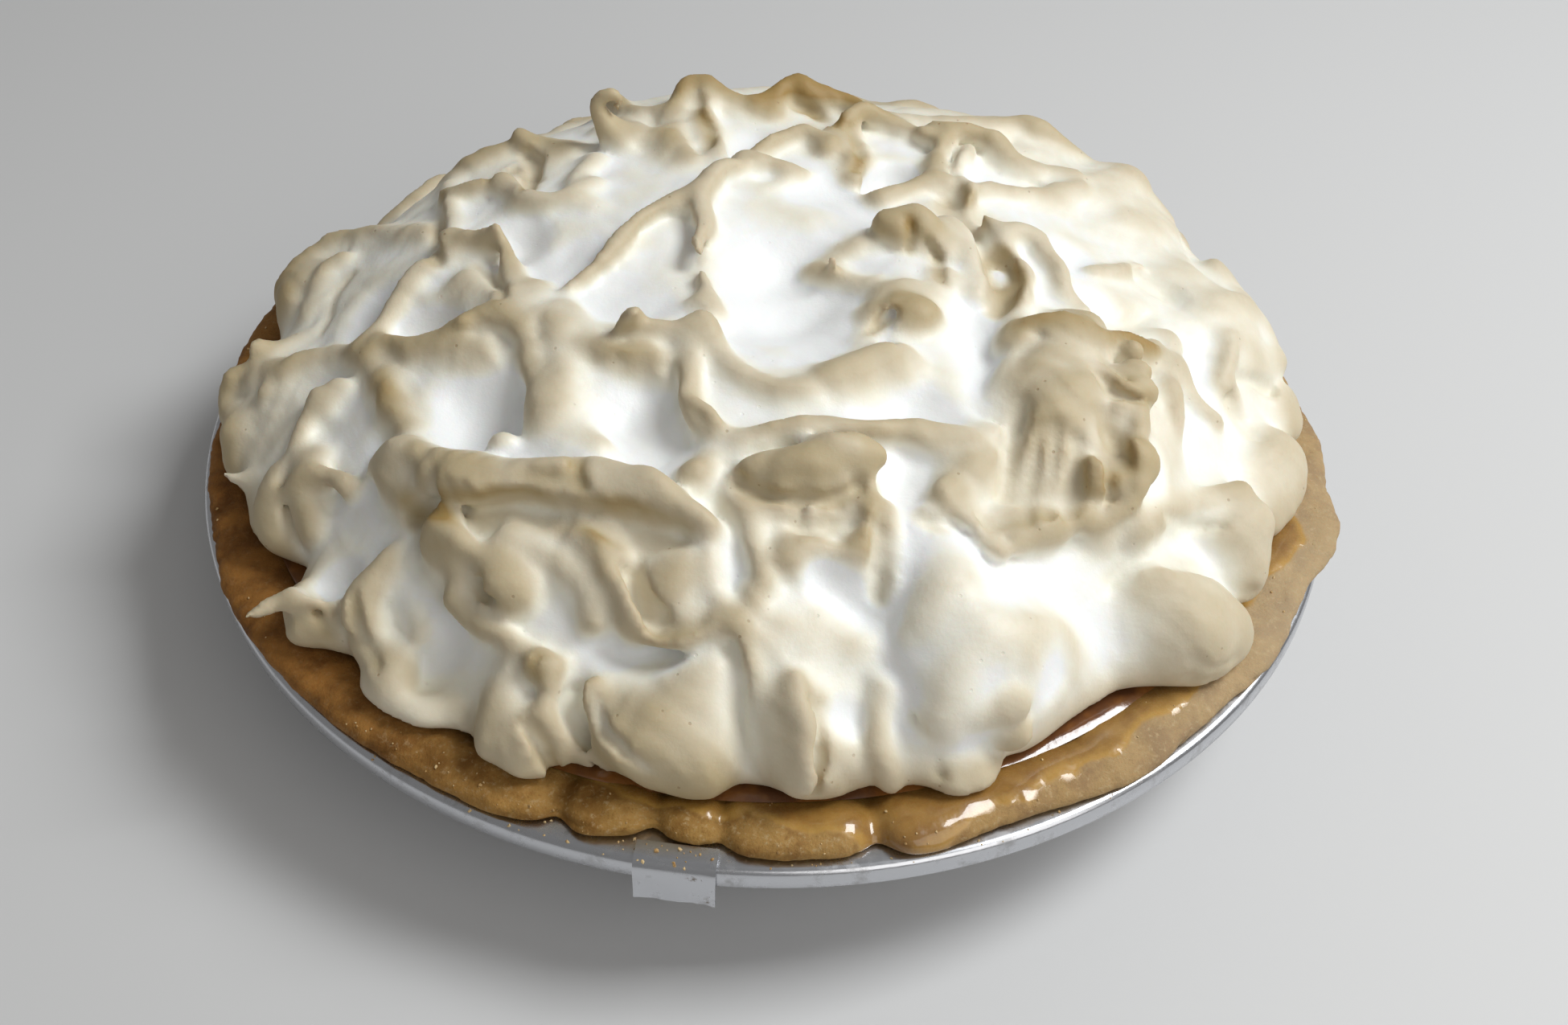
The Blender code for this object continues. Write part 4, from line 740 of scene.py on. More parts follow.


# %% [markdown]
# The strokes go round the pie in the order in which a cook would make them: first the big
# heaps, then each region's ridges and hollows. Places are x, y and the height above the tin's
# rim, in millimetres. toast runs from 0, still white, to 1, well browned; past 1, up to 2,
# it stands for the darkest browning and, in grooves and under overhangs, for painted shade, and
# a place that stays white although it stands out is below 0.

# %% Strokes of the spoon
STROKES = [
    # the big heaps
    ball((94.5, 12, 12), (18, 31, 20), 8, soft=9, toast=0.6),
    ball((74.5, 43, 18.5), (22.5, 23, 19), -40, soft=10, toast=0.8),
    ball((40, 60.5, 21.5), (34, 21.5, 19.5), -15, soft=10, toast=0.8),
    ball((-10, 62, 25), (34, 24, 18), 0, soft=10, toast=0.6),
    ball((-59.5, 41, 17), (25, 21, 17.5), 40, soft=9),
    ball((-95, 16, 9), (16, 22, 14), 10, soft=7),
    ball((-98, -22, 8), (15, 31, 14), 8, soft=7, toast=0.8),
    ball((-78, -69, 6), (14, 14, 11), 30, soft=6),
    ball((-65, -89, 3), (13, 9, 7), -25, toast=0.2),
    ball((-43, -98, 6), (9, 10, 10), 0, soft=5),
    ball((-11, -97, 10), (16, 14, 16), 0, soft=4),
    ball((-29, -97, 6), (8, 9, 9), 0),
    ball((10, -100, 8), (12, 12, 14), 0, soft=6),
    ball((30, -98, 7), (12, 12, 12), 0, soft=6),
    ball((40, -88, 14), (18, 16, 18), 0, soft=7, toast=0.3),
    ball((76, -69, 8), (19.5, 15, 17), -25, soft=4),
    ball((92, -50, 12), (14, 10, 11), -50, soft=4, toast=0.6),
    ball((103, -26, 7), (12, 16, 13), -15, soft=4, toast=0.6),
    ball((62, -40, 26), (20, 26, 18), 0, soft=8, toast=0.8),
    # the large white hollows
    scoop((4, -13, 60), (22, 29, 19), 0, soft=6),
    scoop((17, 19, 59), (20, 13, 13), -30, soft=6),
    scoop((43, -29, 56), (6, 25, 14), 5, soft=5),
    scoop((-30, -21, 55), (12, 20, 10), -35, soft=5),
    scoop((-46, -8, 55.5), (14, 18, 10), -20, soft=5),
    scoop((-59, 5, 49), (11, 12, 9), soft=4),
    scoop((-58, -46.5, 42), (14, 12, 10), soft=4),
    scoop((-26, -55, 46.5), (12, 14, 10), soft=4, toast=0.3),
    scoop((-86.5, -7.5, 37), (8, 12, 9), -15, soft=4, toast=0.15),
    scoop((-72.5, -18, 39.5), (9, 8, 8), 30),
    scoop((-77.5, -63, 34.5), (6, 22, 9), -10, soft=4),
    scoop((-63, -91, 20), (9, 7, 12), soft=4, toast=0.25),
    scoop((54, -98, 37.5), (5, 8, 20)),
    scoop((28, -52, 49), (12, 12, 9), soft=5),
    scoop((90.5, -21, 33), (8, 11, 7), 15),
    scoop((69, -11, 43.5), (9, 9, 7), soft=4),
    scoop((66, 7, 46.5), (8, 10, 7), 20),
    scoop((28, 29.5, 48), (10, 9, 9), -10),
    scoop((-7, 40.5, 50), (8, 9, 7), soft=4, toast=0.2),
    scoop((-6, -86, 41.5), (4, 5, 12), soft=2.5),
    scoop((-23.5, -93, 27.5), (12, 6, 7)),
    # back left lobe and its neighbours
    rope((-109, 13.5, 14, 2.5), (-110, 25.5, 15, 3), (-104.5, 31, 18, 3), (-96.5, 33, 21.5, 3),
         (-86.5, 26.5, 26.5, 2.5), (-76, 17, 34, 2), soft=5.6, toast=1),
    ball((-107.5, 20.5, 15.5), (9, 10, 7), toast=1.2),
    rope((-103.5, 6, 20.5, 1.5), (-102.5, 13.5, 22.5, 2), (-102, 18, 22.5, 2), (-99, 20.5, 23.5, 1.5),
         soft=4.7, toast=0.9),
    rope((-81.5, -18, 32, 1.5), (-81, -14.5, 35, 1.5), (-80, -7.5, 36.5, 2), (-76.5, -0.5, 37.5, 2),
         (-72, 2, 38.5, 2), (-69.5, 7.5, 38.5, 1.5), toast=0.6),
    rope((-82, -18, 31.5, 2.5), (-92.5, -16.5, 25.5, 2.5), (-102, -18, 21.5, 2.5), (-112, -11, 15, 2.5),
         soft=4.7, toast=1.1),
    rope((-98.5, -3, 18.5, 4), (-105.5, -8.5, 18.5, 3), (-109.5, -9.5, 20.5, 2), (-110.5, -10, 22, 1),
         soft=3),
    rope((-115.5, -13.5, 16, 2), (-116.5, -16.5, 13, 2.5), (-115, -28.5, 14, 2.5), soft=4.7, toast=0.9),
    crease((-115, -12, 16, 1), (-116, -16, 12.5, 1.5), (-117, -20.5, 9.5, 1), soft=1.5),
    ball((-109.5, -17, 18), (2.5, 2.5, 2.5), soft=1.5, toast=0.9),
    ball((-106.5, -22, 19.5), (2.5, 2.5, 2), soft=1.5, toast=0.9),
    rope((-73.5, 46, 31, 2.5), (-68.5, 48, 32.5, 3), (-62, 52, 35, 3), (-55.5, 49, 38.5, 3),
         (-47.5, 42.5, 39.5, 2.5), soft=5.6, toast=1.5),
    ball((-67, 49, 29.5), (11, 8, 7), soft=2, toast=1.3),
    rope((-59.5, 48.5, 40, 1.5), (-60, 51.5, 40.5, 1.5), (-61, 55, 39.5, 1)),
    rope((-75.5, 39.5, 34.5, 1.5), (-71, 25, 38, 2), (-70.5, 10, 38.5, 2), toast=0.4),
    rope((-73.5, 32, 38.5, 1.5), (-66, 30, 41, 1.5), (-60.5, 28.5, 42.5, 1.5), soft=3.4, toast=0.85),
    rope((-59.5, 27.5, 42.5, 1.5), (-55.5, 20.5, 44, 2), (-49.5, 16.5, 45.5, 2), (-44.5, 17, 46, 2),
         (-39, 22, 45.5, 2), soft=4.2, toast=0.5),
    rope((-41.5, 35, 44.5, 2), (-43.5, 26.5, 43.5, 2), (-39.5, 15, 43, 2), soft=4.7, toast=0.35),
    ball((-64.5, 6, 38), (8, 7, 5), 10, toast=0.9),
    rope((-71, 4, 38, 1.5), (-67.5, 5.5, 41.5, 2), (-63, 4, 45, 2), (-61, 3.5, 47, 1.5), (-59.5, 3, 49, 1),
         soft=3.6),
    rope((-60, 3.5, 45, 1.5), (-55.5, -4, 45, 2), (-54.5, -10.5, 44.5, 2), toast=0.9),
    ball((-54.5, -15.5, 43), (3, 3, 3), soft=1.5),
    ball((-50.5, -14, 42.5), (5.5, 4.5, 4), soft=1.5, toast=1),
    rope((-46, -18.5, 44.5, 2), (-40.5, -21.5, 45.5, 2), (-38, -26, 45, 2), (-34, -31, 46, 2), soft=4.2,
         toast=0.6),
    rope((-65.5, -5.5, 38.5, 2), (-60, -11.5, 40, 2), (-58.5, -15.5, 40.5, 2), soft=4.7, toast=0.9),
    # the two windows on the left
    rope((-80.5, -20.5, 32, 2), (-77.5, -22, 35.5, 2), (-73, -25, 38.5, 1.5), (-67, -24, 40, 1.5),
         (-62.5, -23.5, 42, 1.5), (-61, -24.5, 44, 1), toast=1.1),
    rope((-61.5, -23.5, 41.5, 1.5), (-59, -21.5, 42, 2), (-54.5, -23, 44, 2), (-50, -26, 45, 2),
         (-47.5, -30.5, 43.5, 2), (-47, -35.5, 41.5, 2), (-45, -42, 41.5, 2), (-44, -47.5, 39.5, 2),
         (-46.5, -51.5, 38, 2), toast=1),
    crease((-61, -26.5, 43, 1), (-55.5, -30.5, 45, 1.5), (-50, -33.5, 44, 1)),
    rope((-71.5, -26, 36, 2.5), (-63.5, -27.5, 38, 2.5), (-56, -28.5, 39.5, 2.5), soft=4.7, toast=1.2),
    rope((-52.5, -19.5, 42, 2.5), (-43.5, -25, 44, 3), (-40.5, -33, 43.5, 3), (-39.5, -42, 42, 2.5),
         (-42, -48, 39.5, 2.5), soft=4.7, toast=0.75),
    rope((-82, -21.5, 30.5, 2.5), (-78.5, -30, 33, 2.5), (-74.5, -38, 32.5, 2.5), (-73, -44, 31.5, 2.5),
         soft=4.7, toast=1.5),
    rope((-30.5, -34, 46, 1.5), (-29, -33.5, 49, 1.5), (-27, -33.5, 52, 1.5), (-25, -35, 54.5, 1),
         soft=3.4),
    rope((-25.5, -32.5, 52, 1), (-23.5, -33, 50, 1.5), (-18, -33, 48.5, 2), (-13, -31, 49, 2)),
    ball((-24, -32, 44), (11, 6, 4), toast=1.2),
    rope((-35.5, -34.5, 44, 2), (-28, -37.5, 45, 2), (-22, -39.5, 47, 2), soft=4.2, toast=1.2),
    crease((-28.5, -40, 46.5, 1), (-24.5, -42, 48.5, 1), (-20.5, -42.5, 48.5, 1)),
    crease((-18.5, -43, 48, 2.5), (-18, -48, 45, 2.5), (-17, -54, 43.5, 2), soft=2),
    rope((-12, -30, 48, 2), (-15.5, -39, 48, 2), (-15.5, -48, 46, 2), (-14.5, -52.5, 45.5, 2),
         (-12, -55.5, 44, 2), (-5.5, -59.5, 42.5, 2), soft=4, toast=0.65),
    rope((-14, -52, 47.5, 1.5), (-12.5, -53.5, 47.5, 1.5), (-11.5, -56, 45.5, 1.5), soft=1.2),
    ball((-52, -55, 37), (3, 3, 3), soft=2, toast=0.3),
    rope((-44, -47, 39.5, 2), (-41, -54.5, 39, 2), (-32.5, -59, 38, 2), soft=5.6, toast=0.4),
    # back middle: curl, peaks and swirl
    rope((-36.5, 43.5, 45, 4.5), (-40, 45, 49.5, 3), (-41.5, 45.5, 53.5, 2), (-40, 46, 56, 1.5),
         (-37.5, 46, 57, 1.5), (-36, 46, 56, 1), (-36.5, 45.5, 54, 1), soft=2.2, toast=0.9),
    rope((-42.5, 73.5, 36, 2), (-37, 64, 40, 2), (-32.5, 56.5, 41.5, 2), (-26, 54, 43, 2), soft=4.2,
         toast=1.2),
    rope((-41, 55.5, 39, 2.5), (-33.5, 46.5, 43.5, 3), (-28, 41, 44, 2.5), (-22, 34, 46.5, 2),
         (-19, 31.5, 46, 1.5), soft=4.2, toast=1.1),
    rope((-25.5, 37, 43.5, 2.5), (-24.5, 50, 43.5, 2.5), (-23, 59.5, 46, 2.5), (-19.5, 64, 48, 2.5),
         (-16, 63, 49, 2.5), (-11, 61, 47, 2.5), (-4.5, 60, 45, 2.5), soft=4.7, toast=1.4),
    crease((-19, 48.5, 52, 1.5), (-19, 43.5, 50.5, 2.5), (-17, 35.5, 48.5, 2), soft=1.5, toast=1.8),
    rope((-16.5, 58.5, 47.5, 2), (-17, 46.5, 46, 2), (-13, 34.5, 45.5, 2), soft=4.2, toast=0.5),
    rope((-2.5, 59.5, 45, 2), (0.5, 65, 45.5, 2.5), (4.5, 67.5, 45.5, 3), (11, 65.5, 44, 3),
         (17.5, 66, 43, 3), (21, 59, 42, 2.5), soft=4.7, toast=2.1),
    scoop((7.5, 52, 47.5), (5, 3, 3), soft=1.5, toast=2),
    rope((-6, 36.5, 46, 1.5), (-2.5, 39, 48, 2), (2, 43, 48.5, 2), (6.5, 45, 49, 2), (10.5, 40.5, 49, 1.5),
         soft=3.6, toast=0.9),
    ball((3.5, 43, 43.5), (9, 6, 4), soft=2.5, toast=0.8),
    rope((-8.5, 30.5, 47, 1.5), (-7, 32, 49.5, 1.5), (-2, 31, 48.5, 1.5), (6.5, 27.5, 47.5, 1), soft=3.4,
         toast=0.7),
    rope((9.5, 38, 48, 1.5), (13, 47, 47, 2), (16.5, 50.5, 47, 2), (20.5, 54, 47.5, 2), (24.5, 55, 46, 2),
         (29.5, 54, 44.5, 2), (36, 49.5, 43, 2), toast=1.15),
    rope((16, 47, 44.5, 2.5), (15.5, 37.5, 45, 2.5), (18.5, 29, 47, 2), soft=4.2, toast=1),
    ball((10.5, 43, 41), (8, 8, 5), soft=2.5, toast=0.75),
    rope((22, 58, 42, 2), (31, 59, 42.5, 2.5), (41.5, 61, 41.5, 2.5), (51, 61.5, 39.5, 2.5),
         (62, 63.5, 39, 3), soft=4.7, toast=0.85),
    ball((33.5, 49.5, 45), (2.5, 2.5, 2.5), soft=1.2, toast=0.9),
    ball((36, 51.5, 45), (2.5, 2.5, 2.5), soft=1.2, toast=0.9),
    rope((36.5, 31.5, 43.5, 2), (36, 41.5, 45, 2), (37.5, 47.5, 47, 2), (43.5, 52, 47, 2),
         (48.5, 51, 45, 2), (52.5, 47.5, 42, 2), (56.5, 44, 40, 2), toast=1),
    scoop((38.5, 24, 50.5), (4, 6, 5), soft=1.5, toast=2),
    rope((43, 45, 45, 2), (42.5, 33, 46, 2), (44.5, 21, 45.5, 2), (45, 14, 47, 2), (48, 11.5, 45.5, 2),
         (52.5, 13, 43.5, 2), toast=0.5),
    rope((23.5, 20.5, 46.5, 2), (29.5, 24.5, 45, 2), (36, 29.5, 44, 2), soft=4.7, toast=0.95),
    crease((40, 23, 46.5, 3), (41.5, 13.5, 47, 3), (43, 5.5, 47.5, 3), (46, -3.5, 48, 3), soft=3,
           toast=1.7),
    # the ridges of the middle bowl
    rope((-20.5, 13, 49, 2), (-15, 18, 50, 2.5), (-12, 23, 51, 2), (-9.5, 26, 49.5, 2),
         (-6, 31.5, 47.5, 1.5), toast=0.7),
    rope((-13.5, 19.5, 51.5, 2), (-14.5, 8.5, 51.5, 2), (-16.5, -4, 51, 2), (-16.5, -12.5, 49, 2),
         (-15.5, -18.5, 47.5, 2), (-10.5, -23.5, 45, 2), toast=0.55),
    crease((-19.5, 1.5, 50, 2), (-19, -9, 48.5, 2.5), (-18, -16.5, 49, 2), soft=3, toast=0.5),
    rope((-14.5, 16, 50.5, 2), (-21, 9, 50.5, 2), (-27, 4, 49, 1.5), (-33.5, -3.5, 48.5, 1.5),
         (-38, -11.5, 48.5, 1.5), (-41.5, -15, 47, 1.5), soft=3.4, toast=0.75),
    rope((-8, 23.5, 45.5, 1.5), (-2, 22.5, 45, 1.5), (3.5, 26.5, 45, 1.5), toast=0.6),
    rope((-12, -30.5, 47.5, 2), (-8.5, -38, 46, 2), (-2, -43, 46, 2), (3.5, -46, 45.5, 2),
         (10, -45, 45.5, 2), (17, -39.5, 47, 2), (23, -37, 47.5, 2), (27.5, -35.5, 46, 2), soft=4.2,
         toast=0.7),
    ball((8, -44.5, 41.5), (11, 5, 4), toast=0.8),
    rope((13.5, -41.5, 45, 2.5), (18.5, -41, 45, 3), (24, -39.5, 45.5, 2.5), soft=4.7, toast=0.95),
    rope((8.5, -3.5, 42.5, 2), (12.5, -0.5, 43, 2), (16.5, 1, 44.5, 2), (21.5, 1.5, 45.5, 2), soft=3.4,
         toast=1),
    rope((10.5, -4, 41, 2), (10.5, -6.5, 45.5, 1), (10.5, -8, 49, 1), soft=1.2, toast=0.5),
    rope((7.5, -5, 42, 2), (13, -8, 43, 2), (19.5, -11.5, 44.5, 2), (23.5, -15.5, 44.5, 2), soft=3.3,
         toast=0.9),
    ball((26, 2.5, 49), (5, 5, 5), soft=1.3, toast=1.1),
    ball((30.5, 4, 50.5), (5, 5, 5), soft=1.3, toast=1),
    ball((34, 3.5, 45), (6, 7, 7), 5, soft=2, toast=0.9),
    rope((38, 8, 48.5, 2), (40.5, 4, 47, 2), (41.5, -3.5, 46.5, 2), (40.5, -10.5, 46, 2), soft=4.2,
         toast=0.3),
    ball((26.5, -23, 44.5), (8.5, 6.5, 6), soft=2.4, toast=1.1),
    rope((23.5, -16.5, 45, 2), (27, -15, 45.5, 2), (31.5, -15, 45.5, 2), (35, -7.5, 46, 2), soft=3.6),
    rope((22.5, -17.5, 44.5, 1.5), (20.5, -24, 44, 2), (20, -33, 45, 2), soft=3.6, toast=0.7),
    crease((24, -22, 47.5, 1), (24, -29.5, 48.5, 1.5), (25, -35, 47.5, 1), toast=0.3),
    # back right folds
    rope((62, 62, 39.5, 2.5), (67.5, 60, 36, 2.5), (73.5, 59.5, 31.5, 2.5), soft=4.7, toast=0.85),
    ball((79.5, 52, 32.5), (8, 8, 5), soft=2.5, toast=0.6),
    crease((54.5, 55, 42, 2), (58.5, 50, 41.5, 2), (61, 48.5, 40.5, 1.5), soft=2, toast=0.9),
    rope((49, 52.5, 43.5, 2), (53.5, 45.5, 42, 2), (58.5, 43, 40.5, 2), (67, 41.5, 38, 2), toast=0.7),
    scoop((46, 34.5, 48.5), (5, 7, 5), soft=2, toast=0.1),
    rope((47, 30, 44, 2), (53.5, 29.5, 43, 2), (60, 33, 40.5, 2), (69, 35.5, 38, 2), soft=4.7, toast=0.7),
    scoop((47.5, 18.5, 46.5), (4, 5, 4), soft=1.5, toast=1),
    ball((59.5, 31, 37), (10, 7, 5), soft=2, toast=0.9),
    rope((48.5, 9, 45, 2), (53, 11.5, 44.5, 2), (58, 9, 44, 2), (59, 2, 43.5, 2), (59.5, -6.5, 41.5, 2),
         (65, -12.5, 40.5, 2), toast=0.45),
    rope((49, 6, 44.5, 1.5), (50.5, -2, 45.5, 2), (50, -10, 45, 2), (51, -18, 45.5, 2),
         (48.5, -32.5, 43.5, 2), (45, -41.5, 41, 2), soft=4.7, toast=0.35),
    crease((47, 0.5, 45.5, 3), (47, -6.5, 47, 3), (46.5, -14, 46.5, 3), soft=2, toast=2),
    ball((47, -3, 42.5), (2, 3, 2), soft=1, toast=0.1),
    ball((85, 41.5, 24.5), (12, 12, 6), toast=0.75),
    rope((68.5, 4.5, 39, 2), (74.5, 9.5, 37.5, 2), (81, 15.5, 33.5, 2), soft=1.5, toast=0.6),
    crease((81.5, 12, 34, 2.5), (85, 10, 33, 2.5), (88, 6, 33, 1.5), soft=3, toast=0.8),
    crease((73, -10, 38, 2.5), (76.5, -9, 36.5, 2.5), (81, -1.5, 36.5, 2), soft=3, toast=0.8),
    ball((94, 10.5, 24), (15, 12, 6), -15),
    ball((107, 9, 17), (9, 13, 7), 10, toast=0.5),
    ball((99, 24.5, 24), (9, 8, 6), -40, toast=0.55),
    crease((99, 38, 26.5, 2), (99, 20, 32, 2.5), (101.5, 15, 31.5, 2), soft=3, toast=0.7),
    rope((98.5, -4.5, 29, 2), (98, -13.5, 27.5, 2), (100, -18, 23, 2), toast=0.4),
    rope((84.5, -8, 33.5, 2), (85.5, -20, 32.5, 2), (88.5, -24.5, 29.5, 2), (92.5, -25.5, 26, 2),
         toast=0.55),
    ball((112, -5, 10), (8.5, 8, 7), soft=1.8, toast=0.6),
    crease((99.5, -18, 24.5, 1.5), (101.5, -21.5, 22.5, 2), (102.5, -25, 20.5, 1.5), soft=1.6, toast=0.9),
    crease((102, -13, 24.5, 1.5), (111.5, -5.5, 16.5, 1.5), soft=1.6, toast=0.8),
    ball((108.5, -24.5, 7), (7, 12, 8), soft=1.8, toast=0.6),
    # the big sheet on the right
    rope((60, -22.5, 39, 9), (59.5, -33.5, 39, 11), (54.5, -46, 34.5, 12.5), (53, -56, 29.5, 11), soft=3,
         toast=0.95),
    ball((84, -19, 26), (7, 8, 10), soft=2.5, toast=0.75),
    rope((49, -27.5, 45, 2), (51, -24, 48, 2), (55, -23.5, 49, 2), (61.5, -26.5, 48, 2), (67, -29.5, 47, 2),
         (72.5, -23.5, 42.5, 2), (79, -21, 37.5, 2), toast=1.5),
    ball((73.5, -29.5, 44), (3, 3, 3), soft=1.4, toast=1),
    ball((73, -37, 45), (3, 2.5, 2.5), soft=1.4, toast=1),
    ball((72.5, -41, 44), (3.5, 2.5, 2.5), soft=1.4, toast=1),
    rope((67.5, -33.5, 46, 1.5), (67.5, -40, 46, 1.5), (67.5, -45, 45, 1.5), soft=3.4, toast=1),
    rope((71, -42, 44, 2), (71.5, -49, 42.5, 2), (71, -54.5, 39, 2), toast=0.9),
    rope((80, -16.5, 35.5, 2), (84, -22, 33.5, 2), (80.5, -36, 36, 2), (83, -43, 30, 2), toast=0.6),
    scoop((88, -40.5, 32.5), (6, 9, 6)),
    scoop((75, -58.5, 38.5), (4, 8, 6), soft=2.5, toast=0.1),
    crease((42.5, -48, 42, 1.5), (44, -57.5, 41, 1.5), (43.5, -62.5, 39, 1.5), soft=1.5, toast=0.9),
    ball((61.5, -61, 37), (5, 5, 5), soft=1.8, toast=1.05),
    ball((68.5, -56, 38.5), (5.5, 5, 5), soft=1.8, toast=1.05),
    rope((59.5, -68, 34, 1.5), (64, -68.5, 32.5, 1.5), (68.5, -65, 34.5, 1.5), (69.5, -62, 37, 1.5),
         soft=4.2, toast=0.95),
    ball((70, -61.5, 28.5), (6, 6.5, 5), soft=1.8, toast=0.75),
    ball((64, -64.5, 28), (5, 6, 5), soft=1.8, toast=0.8),
    ball((36.5, -63.5, 35.5), (7, 6, 6), soft=1.8, toast=0.8),
    rope((32.5, -65.5, 40, 1.5), (37.5, -70, 38.5, 1.5), (43, -71.5, 37, 1.5), soft=3.3, toast=0.7),
    ball((48, -68.5, 32.5), (10, 6, 6), soft=2, toast=0.85),
    rope((41, -73, 35, 1.5), (45, -76, 34, 1.5), (51, -71, 34, 1.5), soft=3.6, toast=0.7),
    rope((29, -54.5, 42.5, 2), (34.5, -55, 42.5, 2.5), (40.5, -50.5, 41.5, 2), soft=5.6, toast=0.6),
    ball((37.5, -58, 35.5), (8, 8, 8), soft=2.2, toast=0.95),
    ball((89, -51.5, 17.5), (14, 8, 7), -10, soft=1.8, toast=0.5),
    rope((76, -59.5, 30, 2), (85.5, -49.5, 25, 2), (94, -47, 23.5, 2), soft=4),
    crease((67, -73.5, 23.5, 1.5), (75, -68, 25.5, 1.5), (83.5, -66.5, 23.5, 1.5), (93.5, -64, 13.5, 1.5),
           (98.5, -62.5, 10.5, 1.5), soft=1.4, toast=0.7),
    ball((80.5, -58, 3.5), (15, 13, 17), soft=2.5, toast=0.3),
    ball((75.5, -73.5, 6.5), (13, 11, 15), soft=2.5, toast=0.25),
    crease((81, -84.5, 13.5, 1), (86.5, -84, 10.5, 1), (91.5, -81, 10, 1), soft=1, toast=0.7),
    crease((81.5, -85, 8.5, 1), (85.5, -84.5, 7, 1), (89, -83, 7.5, 1), soft=1, toast=0.7),
    rope((32, -70.5, 34.5, 4), (32, -77, 28, 9), (34, -88.5, 23, 12.5), (36, -95, 17, 12.5), soft=2.2,
         toast=0.1),
    ball((43, -102, 19.5), (7, 5, 5), soft=1.5, toast=0.5),
    ball((46.5, -102.5, 14), (5, 4.5, 4), soft=1.5),
    ball((36.5, -103, 7), (10, 9, 7), -15, soft=1.5, toast=0.65),
    crease((27.5, -103, 20.5, 1), (31.5, -108.5, 17, 1), (34, -110, 10.5, 1), toast=0.8),
    ball((53, -92.5, 0.5), (7, 7, 6), 10, soft=1.5, toast=0.6),
    # front middle
    rope((-5, -58, 43.5, 2), (-0.5, -56, 45.5, 2), (6, -56, 46, 2), (12.5, -57.5, 45, 2),
         (18.5, -57, 44, 2), (24.5, -55, 44, 2), (31, -55, 43.5, 2), (35, -54.5, 42.5, 2)),
    scoop((25.5, -66, 43), (6, 8, 6), soft=2.5, toast=0.15),
    ball((8, -65, 44), (13, 5, 5), 2, soft=0.8, toast=0.9),
    rope((16.5, -68.5, 41, 2), (20.5, -73, 39.5, 2), (21.5, -76, 37.5, 2.5), (18.5, -79, 36, 2.5),
         (14, -82.5, 35, 2), (9.5, -86, 33, 2), toast=1.1),
    rope((-4.5, -66.5, 41.5, 1.5), (-2.5, -74, 38, 2), (0, -80, 36, 2), (0.5, -84.5, 34, 2),
         (-2, -88, 31, 2), (-6, -93, 28.5, 2), soft=4.2),
    ball((6.5, -69, 32), (15, 8, 13), soft=2.5, toast=1.25),
    ball((8, -80, 35), (7, 6, 5), soft=2, toast=0.8),
    scoop((15, -89, 36), (8, 7, 9), soft=2.5, toast=0.05),
    rope((23.5, -73, 36.5, 2), (24, -78.5, 33.5, 2), (22.5, -82.5, 31.5, 2), toast=0.4),
    rope((-6, -92.5, 29, 1.5), (-5, -96.5, 27, 2), (-2, -101, 24.5, 2), (1, -104, 21.5, 2), soft=3.6),
    ball((6, -91, 22), (18, 8, 8), toast=0.6),
    crease((-7.5, -97, 27, 1.5), (-5, -102.5, 25, 2), (-1.5, -107, 20, 2), (0.5, -110.5, 13.5, 1.5),
           soft=1.6, toast=0.8),
    rope((-0.5, -93, 23, 5), (3, -97.5, 19.5, 7), (6.5, -104.5, 16.5, 7.5), (6.5, -108.5, 12.5, 6.5),
         soft=2.5, toast=0.6),
    rope((6.5, -102.5, 25, 1.5), (8, -109, 22.5, 1.5), (8.5, -112, 18, 1.5), (8, -113.5, 13, 1.5), soft=3.4,
         toast=0.55),
    crease((12.5, -104.5, 21.5, 1), (11.5, -110, 18.5, 1.5), (9.5, -113.5, 9.5, 1), soft=1.3),
    ball((16.5, -103, 6.5), (8, 8, 11), soft=1.8, toast=0.75),
    scoop((18, -105.5, 21), (5, 4, 4), soft=2, toast=0.1),
    rope((22.5, -99, 22.5, 2), (21.5, -105, 18, 2), (23.5, -109.5, 12, 2), (24.5, -111, 5, 2), soft=3.6,
         toast=0.6),
    # front left
    rope((-75, -51, 27.5, 3.5), (-71, -51, 30, 5), (-63.5, -57, 33, 5), (-55, -63, 35.5, 5),
         (-44.5, -66.5, 38.5, 5), (-34.5, -68, 40, 4.5), (-24, -70.5, 39, 4.5), (-15, -72, 38.5, 4),
         (-10.5, -74.5, 37, 2.5), soft=2, toast=0.6),
    rope((-71.5, -55, 28.5, 3), (-68.5, -61, 28.5, 3), (-66, -64, 26, 2.5), soft=4.7, toast=1),
    # the groove under the roll is painted dark brown: partly browning, partly painted shade under its
    # overhang
    crease((-65, -66.5, 28, 2.5), (-57, -70, 32, 3), (-45.5, -74, 36, 3), (-36, -77, 38, 3),
           (-26.5, -77, 37, 3), (-19.5, -79, 37.5, 3), soft=2.5, toast=2.1),
    rope((-22.5, -69, 42, 1.5), (-16, -73.5, 41.5, 1.5), (-11, -75, 39.5, 1.5), soft=3.3),
    ball((-12, -63, 39.5), (5, 4.5, 4), soft=2, toast=0.8),
    rope((-59, -68, 34, 1.5), (-58.5, -70, 31.5, 3.5), (-58, -73, 28, 5), (-57, -75.5, 24, 6.5),
         (-53.5, -78.5, 23, 6.5), soft=1.8, toast=0.9),
    rope((-57.5, -71, 32, 1.5), (-55.5, -76, 30.5, 2), (-52, -79.5, 30, 2), (-47, -81, 31, 2), soft=3.6),
    crease((-63, -70.5, 25.5, 2), (-62, -76.5, 24, 2.5), (-60, -82, 21.5, 2.5), soft=1.8, toast=0.9),
    ball((-46.5, -81, 26.5), (8, 7.5, 7), soft=1.6, toast=0.85),
    ball((-55.5, -75, 20.5), (9, 8, 9), soft=2, toast=0.85),
    crease((-54, -83, 26.5, 1), (-51.5, -85, 27, 1.5), (-50, -85.5, 26, 1)),
